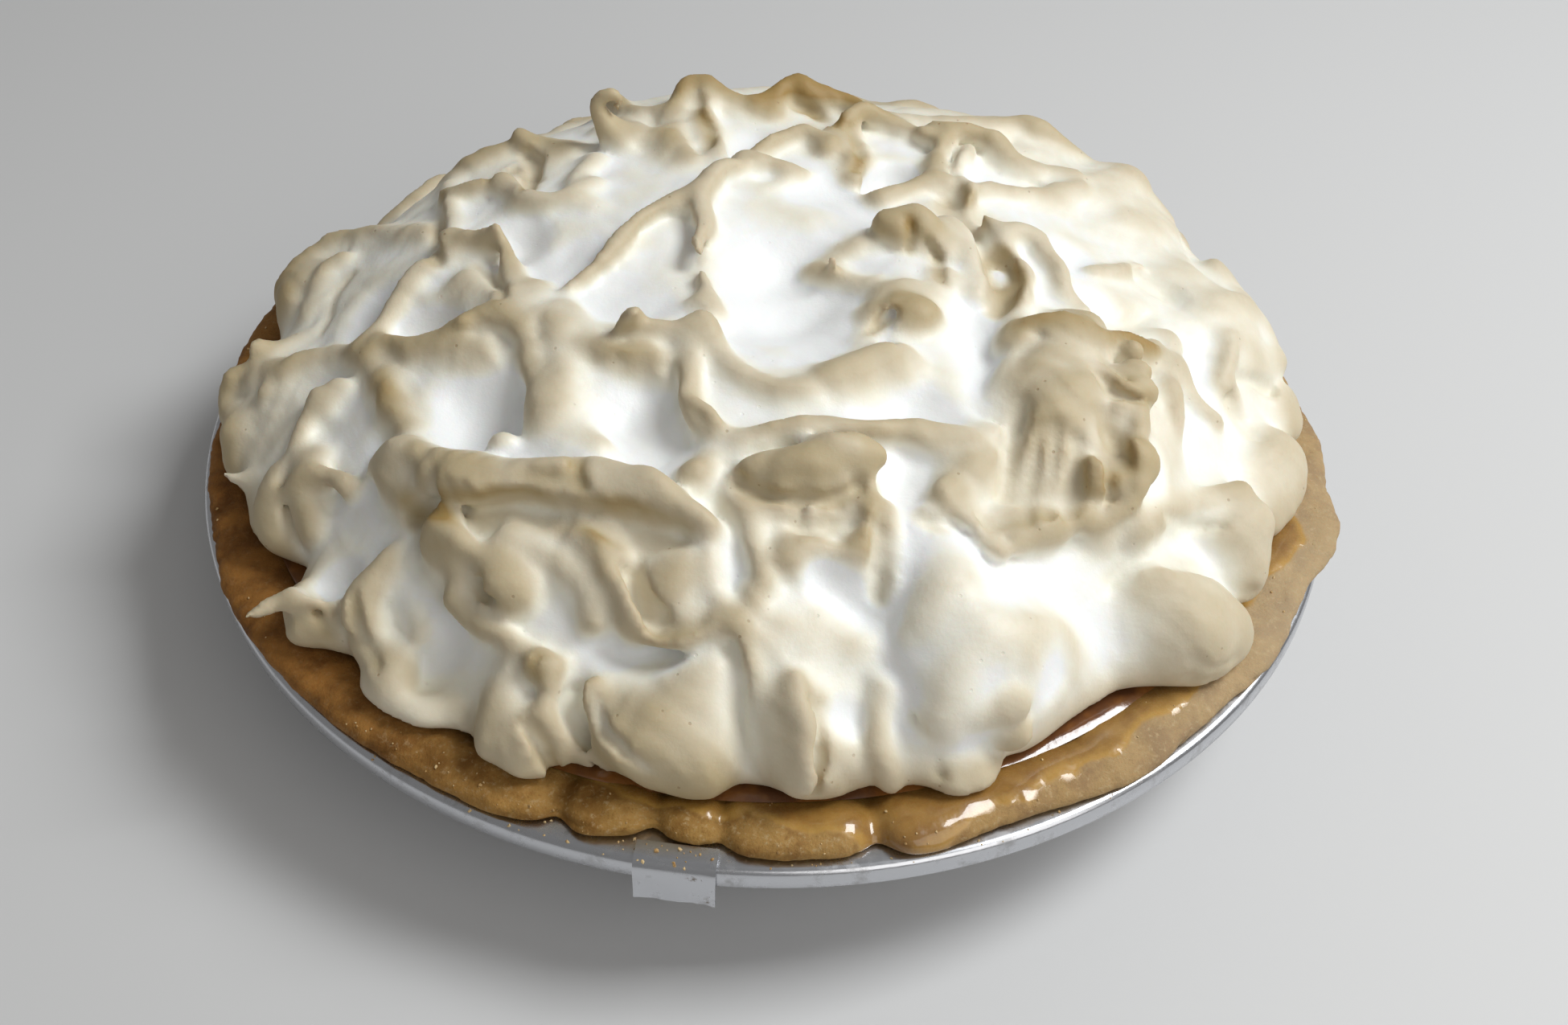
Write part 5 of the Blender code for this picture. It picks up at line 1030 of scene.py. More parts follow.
    rope((-58.5, -84.5, 22.5, 2), (-52, -88.5, 21.5, 2), (-46.5, -91, 20.5, 2), (-42.5, -93, 20.5, 2),
         soft=3.6, toast=0.85),
    ball((-41, -95, 21.5), (2.5, 2.5, 2.5), soft=1.2, toast=0.9),
    ball((-39.5, -96, 20), (2.5, 2, 2), soft=1.2, toast=0.9),
    rope((-37, -95.5, 20, 2), (-36.5, -99.5, 16, 2), (-40, -106, 13, 2), (-43, -108.5, 8.5, 2),
         (-40, -108, 4, 2), soft=3.6, toast=0.75),
    rope((-45.5, -93.5, 15.5, 2.5), (-46.5, -100, 14, 3), (-47, -104.5, 11, 2.5), soft=4.7),
    rope((-35.5, -102, 12.5, 2), (-34.5, -105, 10, 2), (-37.5, -106.5, 6, 2), soft=3.6),
    crease((-39, -105, 15, 1.5), (-38, -107.5, 11.5, 1.5), (-37, -108, 7, 1), soft=1.5, toast=0.8),
    rope((-30.5, -76, 31, 5), (-27.5, -80.5, 29, 6.5), (-23.5, -85, 26, 6.5), soft=3, toast=0.6),
    rope((-36.5, -75.5, 34.5, 2), (-30.5, -77, 34.5, 2.5), (-27.5, -80.5, 34, 2.5), (-26, -85, 31.5, 2.5),
         (-22, -89.5, 28.5, 2.5), (-17, -93, 28.5, 2.5), (-12.5, -94, 29, 2), (-8.5, -91, 29, 2), soft=4,
         toast=0.85),
    ball((-16.5, -81.5, 27), (9.5, 9, 8.5), soft=2, toast=0.85),
    ball((-14, -89.5, 27), (5, 3.5, 4), soft=2, toast=0.8),
    crease((-24.5, -82.5, 34.5, 2), (-23, -86.5, 31.5, 2), (-19, -90, 29.5, 2), soft=1.6),
    rope((-46, -75.5, 31.5, 2.5), (-39.5, -79.5, 32, 2.5), (-34, -84, 30, 2.5), (-32, -89.5, 27, 2),
         soft=4.2),
    rope((-10, -76, 35.5, 2), (-9.5, -81, 33, 2), (-8.5, -87, 31, 1.5), toast=0.5),
    ball((-15, -101.5, 11.5), (16, 14, 12), soft=1.5, toast=1),
    rope((-29, -99.5, 20, 1.5), (-28, -103.5, 18, 1.5), (-25.5, -108, 16, 1.5), (-21, -111.5, 13, 1.5),
         (-19, -112.5, 9.5, 1.5), soft=3.3, toast=0.95),
    ball((-29, -100, 7), (7, 10, 8), 20, soft=1.5, toast=0.6),
    crease((-32.5, -98, 16, 1.5), (-31, -103, 13.5, 2), (-28.5, -107.5, 7.5, 1.5), soft=1.5, toast=0.7),
    # far left
    rope((-106, -30, 11.5, 4), (-100.5, -40.5, 9.5, 5), (-95, -51, 7.5, 5.5), soft=4, toast=0.7),
    rope((-106.5, -40, 12.5, 2.5), (-110.5, -41, 13.5, 1), (-112.5, -40.5, 14.5, 0.5), soft=2, toast=0.3),
    rope((-98, -43.5, 18, 4), (-97.5, -49, 15.5, 4.5), (-97, -53.5, 11, 4.5), soft=1.6, toast=0.95),
    rope((-91, -45, 20, 4), (-90, -50, 18.5, 5), (-88.5, -54.5, 15.5, 4.5), soft=1.6, toast=0.95),
    rope((-96, -48.5, 18.5, 1.5), (-92.5, -48.5, 21.5, 1.5), (-88.5, -49.5, 24.5, 1.5),
         (-83.5, -53, 26, 1.5), (-80.5, -55, 24.5, 1.5), soft=3.4, toast=0.75),
    rope((-95.5, -46.5, 21.5, 1), (-95, -51, 18, 1), (-93, -56, 14.5, 1), adds=False, soft=1.2, toast=1.4),
    rope((-92.5, -32.5, 26, 2), (-96, -36.5, 24, 2), (-95.5, -40.5, 22.5, 2), (-89.5, -44, 21.5, 2),
         soft=3.6, toast=0.7),
    rope((-87.5, -29.5, 28.5, 2), (-91, -32.5, 26.5, 2), toast=0.6),
    ball((-107, -23, 10.5), (11, 14, 7), -10, soft=2.5, toast=1),
    crease((-101, -28.5, 23.5, 1.5), (-104, -33, 21.5, 2), (-106.5, -37, 18, 1.5), soft=2, toast=0.9),
    rope((-84.5, -72.5, 15.5, 5.5), (-89.5, -74.5, 15, 3.5), (-93.5, -75, 14.5, 2), (-98, -77, 13.5, 1),
         (-101, -80.5, 13.5, 0.5), soft=2.5),
    ball((-86, -73.5, 7.5), (9, 8, 8), -30, soft=1.8, toast=0.85),
    ball((-74.5, -76.5, 5.5), (6, 8, 10), soft=2.5, toast=0.75),
    rope((-70.5, -73, 20.5, 3.5), (-74.5, -76, 19, 4), (-76, -79.5, 16.5, 4), (-74, -83.5, 11.5, 4.5),
         (-68, -90.5, 9.5, 4), soft=1.6),
    scoop((-85, -71, 19.5), (7, 6, 6), soft=2, toast=0.05),
    rope((-72, -90.5, 7.5, 2.5), (-65, -95, 8, 2.5), (-58.5, -96, 6.5, 2.5), (-52.5, -97, 5, 2.5), soft=4.7,
         toast=0.3),
    rope((-68.5, -71.5, 21.5, 2), (-67, -78.5, 19, 2), (-65, -84.5, 15, 2), soft=4.2, toast=0.5),
    # the far side
    ball((94.5, 40, 12.5), (8, 15, 10), 24),
    ball((71, 66, 15.5), (9, 14, 9), 42, toast=0.75),
    ball((62, 82, 10), (8, 13, 9), 52, soft=2.5),
    ball((36, 88, 17), (9, 15, 12), 68, toast=0.75),
    ball((15.5, 104, 8), (8, 14, 8), 82, soft=2.5),
    ball((-15, 95, 16.5), (9, 16, 11), 100, toast=0.8),
    ball((-42.5, 97, 8), (8, 12, 8), 114, soft=2.5),
    ball((-64.5, 74.5, 13), (9, 15, 8), 130, toast=0.75),
    ball((-85, 58.5, 8), (8, 12, 9), 146, soft=2.5),
    scoop((97, 57.5, 17), (7, 9, 7), 31),
    scoop((51.5, 82.5, 29.5), (7, 12, 7), 59),
    scoop((-0.5, 91.5, 31.5), (7, 13, 7), 90),
    scoop((12, 107.5, 16.5), (6, 7, 6), 84, soft=2.5),
    scoop((-41, 86, 28.5), (7, 9, 7), 116),
    scoop((-55, 93.5, 11.5), (6, 7, 6), 121, soft=2.5),
    scoop((-87, 60.5, 20.5), (7, 9, 8), 146),
    rope((102, 37, 16, 3), (95, 54.5, 17, 3), (76.5, 70.5, 18, 3), (63.5, 82.5, 18, 3),
         (57.5, 90.5, 14.5, 2.5), soft=4, toast=0.85),
    rope((53.5, 83, 25, 3), (36, 89, 26, 3), (17, 97, 24.5, 3), (4.5, 102, 20.5, 3), (-3.5, 106.5, 15, 2.5),
         soft=4, toast=0.85),
    rope((-13, 98, 19.5, 3), (-30.5, 95.5, 21, 3), (-51, 87.5, 18.5, 3), (-68.5, 78.5, 17.5, 3),
         (-77.5, 75.5, 12.5, 2.5), soft=4, toast=0.85),
    rope((-82, 67.5, 10.5, 3), (-90, 56, 13, 3), (-98.5, 41.5, 10, 3), (-108.5, 29, 10.5, 2.5), soft=4,
         toast=0.85),
    rope((78.5, 76.5, 8, 2), (72.5, 79, 17, 2.5), (60, 86.5, 20.5, 2.5), (47, 95.5, 16, 2), soft=3),
    rope((31, 104, 5.5, 2), (26, 105, 13, 2.5), (12, 108, 15.5, 2.5), (-4, 109, 12.5, 2), soft=3),
    rope((-25.5, 107, 6.5, 2), (-29, 105, 15, 2.5), (-42, 98, 19, 2.5), (-59.5, 88.5, 13.5, 2), soft=3),
    rope((-81, 76, 5.5, 2), (-83, 73, 12, 2.5), (-89, 62, 16, 2.5), (-96, 50, 11.5, 2), soft=3),
    rope((75, 78.5, 13, 2), (79.5, 80.5, 14, 1.5), (86, 79, 14.5, 1), soft=2),
    rope((28, 103.5, 13, 2), (25, 109, 15, 1.5), (20, 115.5, 14.5, 1), soft=2),
    rope((-41, 101, 15.5, 2), (-40.5, 104.5, 15.5, 1.5), (-38, 111, 14.5, 1), soft=2),
    rope((-11.5, 110, 8, 2), (-13.5, 113, 9.5, 1), (-16, 115, 11, 0.5), soft=2, toast=0.6),
    crease((84, 62.5, 27, 1.5), (78.5, 68.5, 22, 2), (86, 65.5, 16, 1.5), soft=2, toast=0.9),
    crease((40, 88, 24.5, 1.5), (33, 96.5, 20.5, 2), (38, 98.5, 14.5, 1.5), soft=2, toast=0.9),
    crease((-21, 88.5, 31, 1.5), (-27, 93.5, 25.5, 2), (-22, 103, 14.5, 1.5), soft=2, toast=0.9),
    crease((-66, 64.5, 29.5, 1.5), (-76, 66.5, 21, 2), (-75.5, 76, 14.5, 1.5), soft=2, toast=0.9),
    crease((46, 101.5, 4.5, 1.5), (44, 99, 12.5, 2), (47.5, 92, 19, 1.5), soft=2, toast=0.5),
    crease((-13, 108.5, 3, 1.5), (-15, 106, 10.5, 2), (-8.5, 102.5, 17.5, 1.5), soft=2, toast=0.5),
    crease((-72, 83, 3.5, 1.5), (-72.5, 80.5, 10.5, 2), (-65.5, 81.5, 17, 1.5), soft=2, toast=0.5),
    crease((90, 64.5, 3, 1.5), (87.5, 66, 10, 2), (91.5, 61, 14.5, 1.5), soft=2, toast=0.5),
    # fine grooves, cut last; their values past 1 paint shade into them
    crease((49.5, -53, 44, 1.5), (50.5, -60, 40, 2), (49, -70.5, 38.5, 1.5), soft=1.4, toast=1.15),
    crease((53, -53.5, 45, 1.5), (54, -60.5, 40, 1.5), (53, -69.5, 38, 1.5), toast=1.15),
    crease((58, -55.5, 43, 1.5), (57.5, -63.5, 39, 1.5), (57, -68.5, 36, 1.5), toast=1.15),
    crease((47, -46.5, 45.5, 2), (45, -54.5, 41, 2), (46, -63, 38.5, 2), soft=1.8, toast=1.15),
    crease((63.5, -48, 45, 2), (65.5, -52.5, 42, 2.5), (66, -60, 41, 2), soft=1.5, toast=1.4),
    crease((67, -33.5, 48.5, 1), (68, -37.5, 47.5, 1), (69.5, -41, 47, 1), soft=1, toast=1.4),
    crease((64, -38.5, 48, 1), (65.5, -42.5, 46.5, 1.5), (68.5, -44.5, 46, 1), (73.5, -44.5, 45, 1), soft=1,
           toast=1.4),
    rope((67.5, -42.5, 47, 1), (70.5, -43.5, 46.5, 1), (72.5, -43.5, 45.5, 1), soft=1, toast=1.2),
    crease((-4.5, -67.5, 43.5, 1.5), (-2, -70.5, 42.5, 1.5), (3, -72.5, 42, 1.5), (9, -72.5, 42.5, 1.5),
           (14, -71.5, 42, 1.5), (17, -70.5, 42.5, 1.5), toast=1.6),
    rope((-2, -58.5, 44.5, 1), (4, -57, 44.5, 1), (10, -63, 48, 1), (14.5, -66, 47.5, 1), soft=1.2,
         toast=0.5),
    crease((6, -77, 39.5, 1), (9.5, -78, 39.5, 1), (13.5, -75.5, 39, 1), soft=1.4, toast=1.2),
    rope((8.5, -73.5, 41.5, 1), (9, -75, 39.5, 1), soft=1.5, toast=0.9),
    crease((10.5, -105, 23.5, 1), (11, -107, 19.5, 1), (10.5, -110, 15, 1), (9.5, -113, 9.5, 1), soft=1.1,
           toast=0.9),
    crease((-35.5, -65, 43.5, 1), (-35.5, -69, 44, 1.5), (-33.5, -71.5, 43, 1), soft=1.1, toast=1.3),
    scoop((-41, -70.5, 44), (6.5, 2.5, 2.5), -3, soft=1.4, toast=0.9),
    rope((-63.5, -57, 37.5, 1.5), (-60, -63.5, 38, 1.5), (-58.5, -66, 35.5, 1.5), soft=1.6, toast=1),
    rope((-60, -60.5, 39, 1.5), (-56, -65.5, 39.5, 1.5), (-54.5, -67.5, 36.5, 1.5), soft=1.6, toast=1),
    rope((-56, -62.5, 40, 1.5), (-52.5, -67.5, 40, 1.5), (-51.5, -68.5, 36.5, 1.5), soft=1.6, toast=1),
    rope((-52, -64.5, 41, 1.5), (-49.5, -68.5, 40.5, 1.5), (-48.5, -69, 37, 1.5), soft=1.6, toast=1),
    rope((-67, -54, 36, 1.5), (-65, -60.5, 36, 1.5), (-64, -62, 32, 1.5), soft=1.6, toast=1),
    crease((-51.5, -85, 30, 1), (-52, -83.5, 25.5, 1.5), (-49.5, -87.5, 27, 1), soft=1.1, toast=1.2),
    crease((-29, -101.5, 21, 1), (-27.5, -107.5, 18, 1.5), (-21.5, -113.5, 15.5, 1), (-19, -115, 14, 1),
           toast=0.5),
    crease((-22.5, -79.5, 35, 1), (-25, -83, 32, 1.5), (-22.5, -87.5, 28.5, 1.5), (-16, -93.5, 31, 1.5),
           (-12, -94, 31.5, 1), toast=1.1),
    rope((-34.5, -72.5, 36, 1), (-29.5, -77.5, 37, 1), (-28.5, -81, 36.5, 1), (-29, -84, 35, 1), soft=1.4,
         toast=0.9),
    rope((-30, -72.5, 36, 1), (-25.5, -75.5, 34.5, 1), (-25.5, -80, 34.5, 1), soft=1.4, toast=0.9),
    crease((77.5, -60.5, 31.5, 1), (85, -55.5, 23.5, 1), (90.5, -55.5, 23.5, 1), toast=0.8),
    crease((-77, -79.5, 21.5, 1), (-76.5, -84.5, 16, 1.5), (-71.5, -91, 13, 1), soft=1.3),
    crease((-82.5, -75.5, 16.5, 1), (-81, -79.5, 13, 1), (-77.5, -85.5, 14.5, 1), toast=1.1),
    crease((-87.5, -73, 14.5, 1), (-85, -79, 13.5, 1), (-82.5, -81.5, 10.5, 1), toast=1.1),
    crease((-40, -105, 14.5, 1), (-38, -105.5, 10, 1), (-37, -108, 6, 1), toast=0.9),
    crease((-40.5, -95.5, 24, 1), (-41.5, -97, 22.5, 1), (-39.5, -98.5, 21, 1), soft=0.9, toast=1.3),
    crease((28, 1.5, 54, 1), (28, -0.5, 52, 1), (27, -2, 49, 1), soft=1, toast=1.7),
    crease((31.5, -0.5, 51, 1), (34, -2.5, 48, 1), (33.5, -11.5, 48, 1), soft=1, toast=1.6),
    crease((-18.5, 57, 49.5, 1.5), (-18, 47, 48, 2), (-16.5, 38, 47.5, 1.5), soft=1.5, toast=1.8),
    crease((6, 62.5, 45, 1.5), (9.5, 59.5, 43.5, 2), (13.5, 47.5, 49.5, 1.5), soft=1.5, toast=1.9),
    crease((17, 46, 48, 1.5), (17.5, 39.5, 47, 1.5), (18.5, 31, 49.5, 1.5), soft=1.4, toast=1.7),
    crease((-63.5, 30, 43.5, 1), (-60.5, 40, 38.5, 1.5), (-53, 32, 41.5, 1), soft=1.3, toast=1.3),
    crease((-54, 20.5, 46, 1), (-55, 35.5, 39.5, 1), (-55.5, 42, 39.5, 1), toast=1.5),
    crease((-97, -3, 25, 1), (-99, 7, 25, 1), (-95, 14, 26.5, 1), soft=1.4, toast=1.1),
    crease((-64.5, -2.5, 41.5, 1), (-58.5, -8.5, 43, 1), (-55, -20, 45.5, 1), toast=1.4),
    crease((-59.5, 46, 39.5, 1.5), (-55, 38, 38.5, 2), (-55, 28, 41, 1.5), soft=1.4, toast=1.3),
    crease((-74.5, 29.5, 38.5, 1.5), (-74.5, 15.5, 38, 2), (-73, 1, 40.5, 1.5), soft=1.5, toast=1.4),
    crease((23, -76, 40, 1.5), (21.5, -80.5, 36, 1.5), (19.5, -84, 31.5, 1.5), soft=1.6),
    crease((65, -56, 42, 1.5), (63.5, -63, 39.5, 1.5), (64.5, -65, 34.5, 1), soft=1.4, toast=1.6),
    crease((58, -59, 41, 1.5), (57.5, -63, 38.5, 1.5), (58.5, -67.5, 36, 1), soft=1.4, toast=1.5),
    crease((41, -69.5, 38.5, 1), (43.5, -71.5, 38, 1.5), (47, -69.5, 38.5, 1), soft=1.3, toast=1.3),
    crease((29.5, -72, 37.5, 1), (32, -73, 38, 1.5), (35.5, -71.5, 37.5, 1), soft=1.5, toast=0.9),
    # again under the roll: dark brown that is partly browning and partly painted shade under its overhang
    crease((-67.5, -65.5, 31.5, 2), (-56.5, -71.5, 37, 2.5), (-45.5, -73.5, 37, 2.5),
           (-33.5, -75.5, 40, 2.5), (-22.5, -77, 38.5, 2.5), (-15.5, -78.5, 37.5, 2), soft=2, toast=2.1),
    crease((20.5, -30, 48, 1), (22, -26, 47.5, 1.5), (24.5, -25, 49.5, 1), soft=1.3, toast=1.5),
]

# %% [markdown]
# Now the grid. It covers the solid's box and a little more. Each stroke works only on the block
# of the grid that it can reach, which keeps this to a few seconds. The folds are added last,
# and the foot is rounded under by the same soft cut.

# %% Work the strokes into a grid
VOXEL = 1.02
MARGIN = 7.0
FOLD_DEPTH = 0.8
FOLD_BAND = 4.0
FOOT_ROUNDING = 3.0
meringue_low, meringue_high = box_mm("meringue")
grid_axes = [
    np.arange(low - MARGIN, high + MARGIN, VOXEL, dtype=np.float32)
    for low, high in zip(meringue_low, meringue_high)
]
grid_axes[2] = grid_axes[2] - RIM_HEIGHT


def spooned():
    """Distance to the surface, and how brown and how shaded it is painted, on the grid."""
    x, y, z = np.meshgrid(*grid_axes, indexing="ij")
    field = mound(x, y, z).astype(np.float32)
    toast = np.full(field.shape, MOUND_TOAST, np.float32)
    moved = [values.astype(np.float32) for values in wobble(x, y, z)]
    for stroke in STROKES:
        block = tuple(
            slice(*np.searchsorted(line, (low, high)))
            for line, low, high in zip(grid_axes, stroke.low, stroke.high)
        )
        if field[block].size:
            field[block], toast[block] = stroke.work(
                field[block], toast[block], *[values[block] for values in moved]
            )
    near = np.abs(field) < FOLD_BAND
    field[near] -= FOLD_DEPTH * (0.3 + 0.7 * toast[near]) * rumple(x[near], y[near], z[near])
    below = FOOT - z
    share = np.clip(0.5 + 0.5 * (field - below) / FOOT_ROUNDING, 0.0, 1.0)
    field = below * (1.0 - share) + field * share + FOOT_ROUNDING * share * (1.0 - share)
    return field, toast


meringue_field, meringue_toast_and_shade = spooned()
print("grid of", " x ".join(str(len(line)) for line in grid_axes), "points")

# %% [markdown]
# An oven browns what stands out and leaves the hollows white. How far a point stands out can be
# read from the same grid: blur the meringue into its surroundings, and a ridge has little
# meringue round it while a hollow has much.

# %% Measure what stands out
EXPOSURE_REACH = 5.0
HOLLOW_CROWDING = 0.53
CROWDING_RANGE = 0.16
STROKE_SHARE = 0.55
LEAST_TOAST, MOST_TOAST_AND_SHADE = -0.8, 2.1


def blurred(values, reach):
    """A box blur along each axis in turn, reach points to either side."""
    for axis in range(3):
        pad = [(reach + 1, reach) if other == axis else (0, 0) for other in range(3)]
        sums = np.cumsum(np.pad(values, pad, mode="edge"), axis=axis, dtype=np.float64)
        count = values.shape[axis]
        upper = np.take(sums, range(2 * reach + 1, 2 * reach + 1 + count), axis=axis)
        lower = np.take(sums, range(count), axis=axis)
        values = ((upper - lower) / (2 * reach + 1)).astype(np.float32)
    return values


blur_points = round(EXPOSURE_REACH / VOXEL)
crowding = blurred(blurred((meringue_field < 0).astype(np.float32), blur_points), blur_points)
standing_out = np.clip((HOLLOW_CROWDING - crowding) / CROWDING_RANGE, 0.0, 1.0)
# The strokes' own values carry deep browning and also painted shade in grooves and under overhangs.
stroke_toast_and_shade = np.clip(meringue_toast_and_shade, LEAST_TOAST, MOST_TOAST_AND_SHADE)
browning_and_shade = (1.0 - STROKE_SHARE) * standing_out + STROKE_SHARE * stroke_toast_and_shade
print(f"browning from {browning_and_shade.min():.2f} to {browning_and_shade.max():.2f}")

# %% Turn the grid into a mesh
def read_grid(values, places):
    """Values of the grid between its points, at places counted in grid steps."""
    places = np.clip(places, 0, np.array(values.shape) - 1.001)
    whole = places.astype(int)
    part = places - whole
    total_value = 0.0
    for corner in np.ndindex(2, 2, 2):
        share = np.prod(np.where(corner, part, 1.0 - part), axis=1)
        total_value = total_value + share * values[tuple((whole + corner).T)]
    return total_value


def make_meringue():
    grid = openvdb.FloatGrid(3.0 * VOXEL)
    grid.copyFromArray(meringue_field)
    steps, quads = grid.convertToQuads(0.0)
    places = np.array([line[0] for line in grid_axes]) + steps * VOXEL
    places[:, 2] += RIM_HEIGHT
    mesh = bpy.data.meshes.new("meringue surface")
    mesh.from_pydata(places.tolist(), [], quads.tolist())
    toast = mesh.attributes.new("toast", "FLOAT", "POINT")
    toast.data.foreach_set("value", read_grid(browning_and_shade, steps).astype(np.float32))
    bm = bmesh.new()
    bm.from_mesh(mesh)
    bpy.data.meshes.remove(mesh)
    everything = bm.verts[:] + bm.edges[:] + bm.faces[:]
    foot = (0, 0, MERINGUE_FOOT + 0.05)
    cut = bmesh.ops.bisect_plane(bm, geom=everything, dist=0.001, plane_co=foot, plane_no=(0, 0, 1),
                                 clear_inner=True)
    rim_edges = [item for item in cut["geom_cut"] if isinstance(item, bmesh.types.BMEdge)]
    bmesh.ops.holes_fill(bm, edges=rim_edges, sides=0)
    bmesh.ops.smooth_vert(bm, verts=bm.verts, factor=0.3, use_axis_x=True, use_axis_y=True,
                          use_axis_z=False)
    return bm


# %% Toasted meringue, with painted shade in its grooves
RAMP_RANGE = 1.3


def make_toasted_shaded_meringue():
    recipe = Recipe("toasted_meringue", Subsurface_Weight=0.12, Subsurface_Scale=0.004)
    cloud = recipe.noise(14.0, detail=3.0)
    fine = recipe.noise(2.2, detail=4.0, roughness=0.6)
    browned_and_shaded = recipe.attribute("toast") + (cloud - 0.5) * 0.25 + (fine - 0.5) * 0.08
    # the two darkest stops serve both as deep browning and as painted shade in grooves and under overhangs
    stops = [
        (0.14, (0.86, 0.87, 0.87)),
        (0.26, (0.84, 0.82, 0.72)),
        (0.42, (0.72, 0.66, 0.52)),
        (0.60, (0.56, 0.48, 0.335)),
        (0.78, (0.46, 0.37, 0.215)),
        (1.0, (0.33, 0.215, 0.07)),
    ]
    color = recipe.node("ValToRGB", {"stops": stops}, {"Fac": browned_and_shaded * (1.0 / RAMP_RANGE)})
    # Pits are painted darker where the meringue is browned: painted shade in the pits.
    pits = recipe.node("TexVoronoi", {}, {"Vector": recipe.place(), "Scale": 1.0 / (5.0 * MM)})
    pinhole = pits.between(0.075, 0.045)
    dry = browned_and_shaded.between(0.3, 0.8)
    color = recipe.mix(pinhole * dry * 0.5, color, (0.30, 0.20, 0.10))
    height = 0.7 * fine + 0.3 * recipe.noise(0.8, detail=2.0) - pinhole * 0.5
    return recipe.feed(
        Base_Color=color,
        Roughness=0.48 + 0.14 * dry,
        Normal=recipe.bump(height, 0.25, 0.5),
    )


toasted_meringue = make_toasted_shaded_meringue()
meringue = finish_piece("meringue_cap", make_meringue(), toasted_meringue,
                        "meringue", sharp_angle=80)

# %% [markdown]
# ## Crumbs
#
# Baking leaves crumbs: baked-on bits of dough along the tab and the tin's edge, and loose ones on
# the crust. Each is a small ball with every point pushed at random, dropped on to what lies
# below it, and all of them are one piece. The random numbers are seeded, so that the same crumbs
# fall each time.

# %% Drop crumbs on what is below
def landing_tree(*pieces):
    """A search tree of the pieces' faces, in millimetres."""
    points, faces = [], []
    for piece in pieces:
        start = len(points)
        points += [vert.co / MM for vert in piece.data.vertices]
        faces += [[start + index for index in face.vertices] for face in piece.data.polygons]
    return BVHTree.FromPolygons(points, faces)


def add_crumb(bm, place, size, dice):
    made = bmesh.ops.create_icosphere(bm, subdivisions=1, radius=size / 2)["verts"]
    for vert in made:
        vert.co *= dice.uniform(0.6, 1.3)
        vert.co.z *= 0.75
    turn = Euler([dice.uniform(0, math.tau) for _ in range(3)]).to_matrix()
    bmesh.ops.rotate(bm, verts=made, matrix=turn)
    bmesh.ops.translate(bm, verts=made, vec=place)


def polar(angle, radius, height):
    turn = math.radians(angle)
    return Vector((radius * math.cos(turn), radius * math.sin(turn), height))


# (how many, from angle, to angle, inner radius, outer radius, smallest and largest size in mm)
CRUMB_SPILLS = [
    (26, -101.5, -92.5, 119.5, 125.4, 0.35, 1.0),
    (34, -128.0, -101.0, 120.5, 124.6, 0.3, 0.9),
    (26, -91.0, -62.0, 121.0, 124.6, 0.3, 0.8),
    (60, -180.0, 180.0, 112.0, 122.0, 0.25, 0.7),
    (34, -60.0, 240.0, 121.5, 124.4, 0.3, 0.8),
]
DROP_HEIGHT = 60.0
LOWEST_LANDING = 25.0


def make_crumbs():
    dice = random.Random(7)
    below = landing_tree(crust, tin, tab)
    bm = bmesh.new()
    for count, start, end, inner, outer, small, large in CRUMB_SPILLS:
        for _ in range(count):
            above = polar(dice.uniform(start, end), dice.uniform(inner, outer), DROP_HEIGHT)
            size = small + (large - small) * dice.random() ** 2
            hit, *_ = below.ray_cast(above, Vector((0, 0, -1)))
            if hit and hit.z > LOWEST_LANDING:
                add_crumb(bm, hit + Vector((0, 0, 0.15 * size)), size, dice)
    return bm


def make_crumb_finish():
    recipe = Recipe("dry_crumb", Roughness=0.85)
    color = recipe.mix(recipe.noise(2.0).between(0.4, 0.6), (0.62, 0.46, 0.24), (0.42, 0.25, 0.09))
    return recipe.feed(Base_Color=color)


crumbs = finish_piece("crust_crumbs", make_crumbs(), make_crumb_finish(), sharp_angle=25)

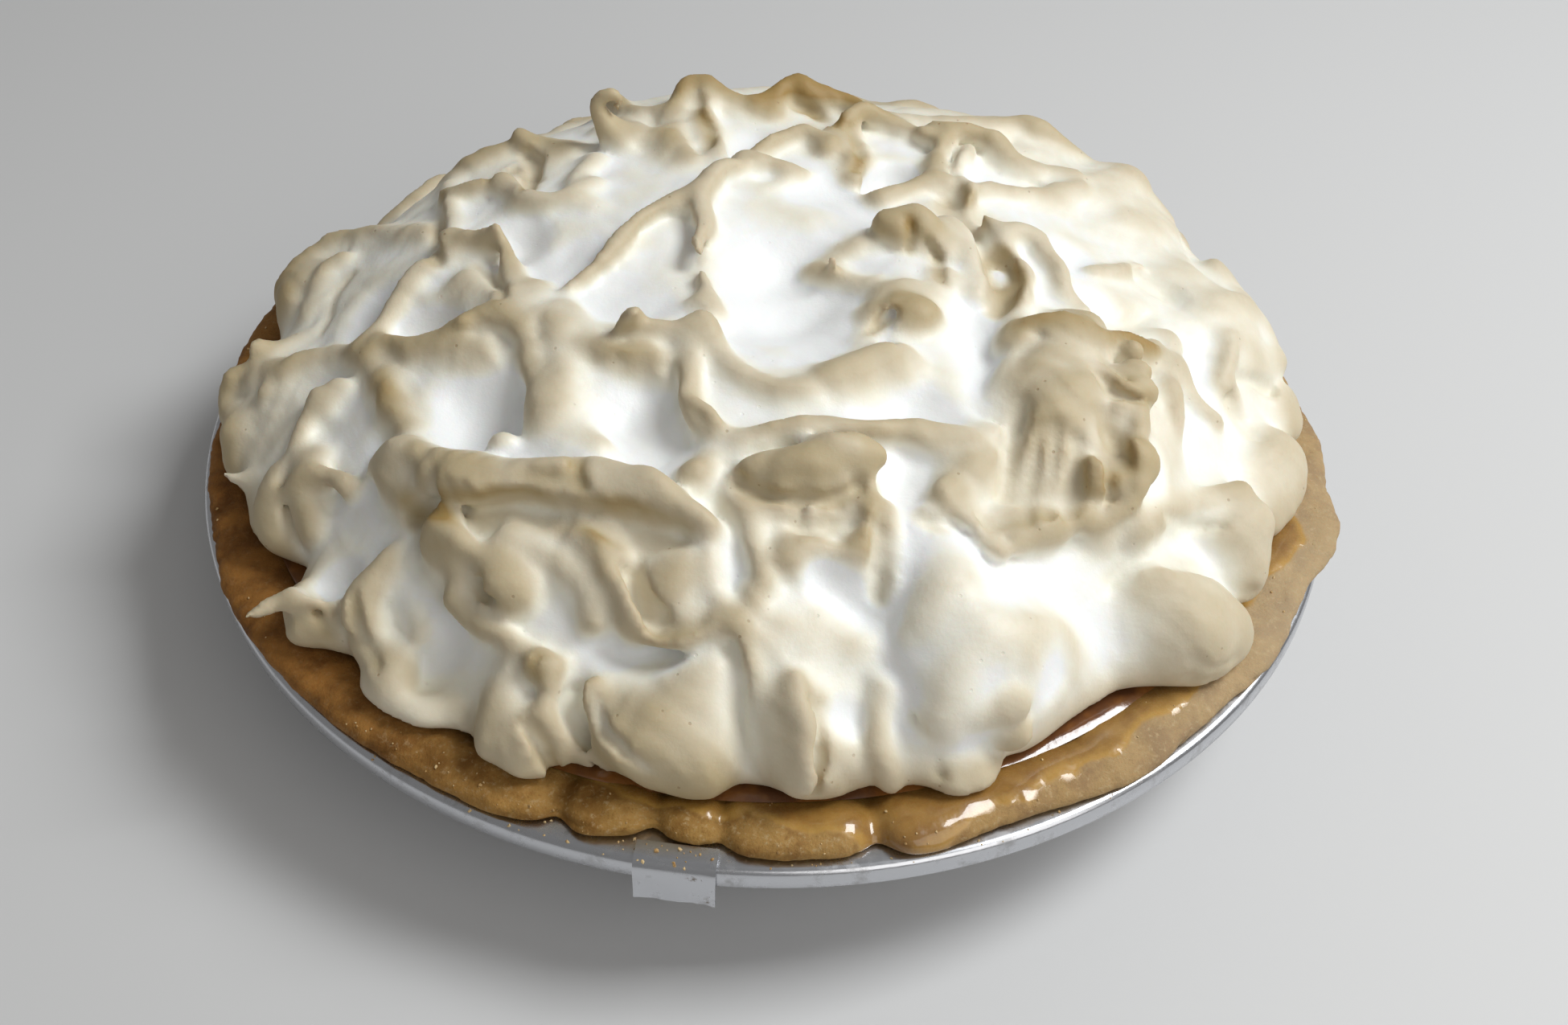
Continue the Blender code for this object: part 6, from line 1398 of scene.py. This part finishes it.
# %% [markdown]
# ## Table, light and camera
#
# The pie stands on a plain pale floor. A soft lamp high on the right does what a window would: it
# lights the tops and leaves the near and left sides in soft shade. A weaker lamp in front on the
# right keeps that shade open.

# %% Floor and lamps
FLOOR_RADIUS = 4.0


def make_floor():
    bm = bmesh.new()
    bmesh.ops.create_circle(bm, cap_ends=True, segments=64, radius=FLOOR_RADIUS)
    mesh = bpy.data.meshes.new("floor")
    bm.to_mesh(mesh)
    bm.free()
    recipe = Recipe("pale_floor", Base_Color=(0.62, 0.62, 0.62, 1.0), Roughness=0.6)
    mesh.materials.append(recipe.material)
    floor = bpy.data.objects.new("floor", mesh)
    bpy.context.scene.collection.objects.link(floor)


def add_lamp(name, place, size, watts, color):
    lamp = bpy.data.lights.new(name, "AREA")
    lamp.size = size
    lamp.energy = watts
    lamp.color = color
    holder = bpy.data.objects.new(name, lamp)
    holder.location = place
    aim = Vector((0, 0, RIM_HEIGHT * MM)) - Vector(place)
    holder.rotation_euler = aim.to_track_quat("-Z", "Y").to_euler()
    bpy.context.scene.collection.objects.link(holder)


make_floor()
add_lamp("window", (0.64, 0.06, 0.90), 0.46, 9.3, (0.97, 0.99, 1.0))
add_lamp("front fill", (0.55, -0.8, 0.7), 0.9, 3.6, (1.0, 0.98, 0.95))
world = bpy.data.worlds.new("room")
world.use_nodes = True
background = world.node_tree.nodes["Background"]
background.inputs["Color"].default_value = (0.93, 0.92, 0.90, 1.0)
background.inputs["Strength"].default_value = 0.25
bpy.context.scene.world = world
bpy.context.scene.view_settings.view_transform = "Standard"

# %% Camera
CAMERA_BACK = 305.5
CAMERA_ABOVE_RIM = 257.9
CAMERA_TURN = (46.71, -1.735, 0.80)
camera = bpy.data.cameras.new("camera")
camera.lens = 40.0
camera.clip_start = 0.01
camera_holder = bpy.data.objects.new("camera", camera)
camera_holder.location = (0.0, -CAMERA_BACK * MM, (CAMERA_ABOVE_RIM + RIM_HEIGHT) * MM)
camera_holder.rotation_euler = [math.radians(angle) for angle in CAMERA_TURN]
bpy.context.scene.collection.objects.link(camera_holder)
bpy.context.scene.camera = camera_holder
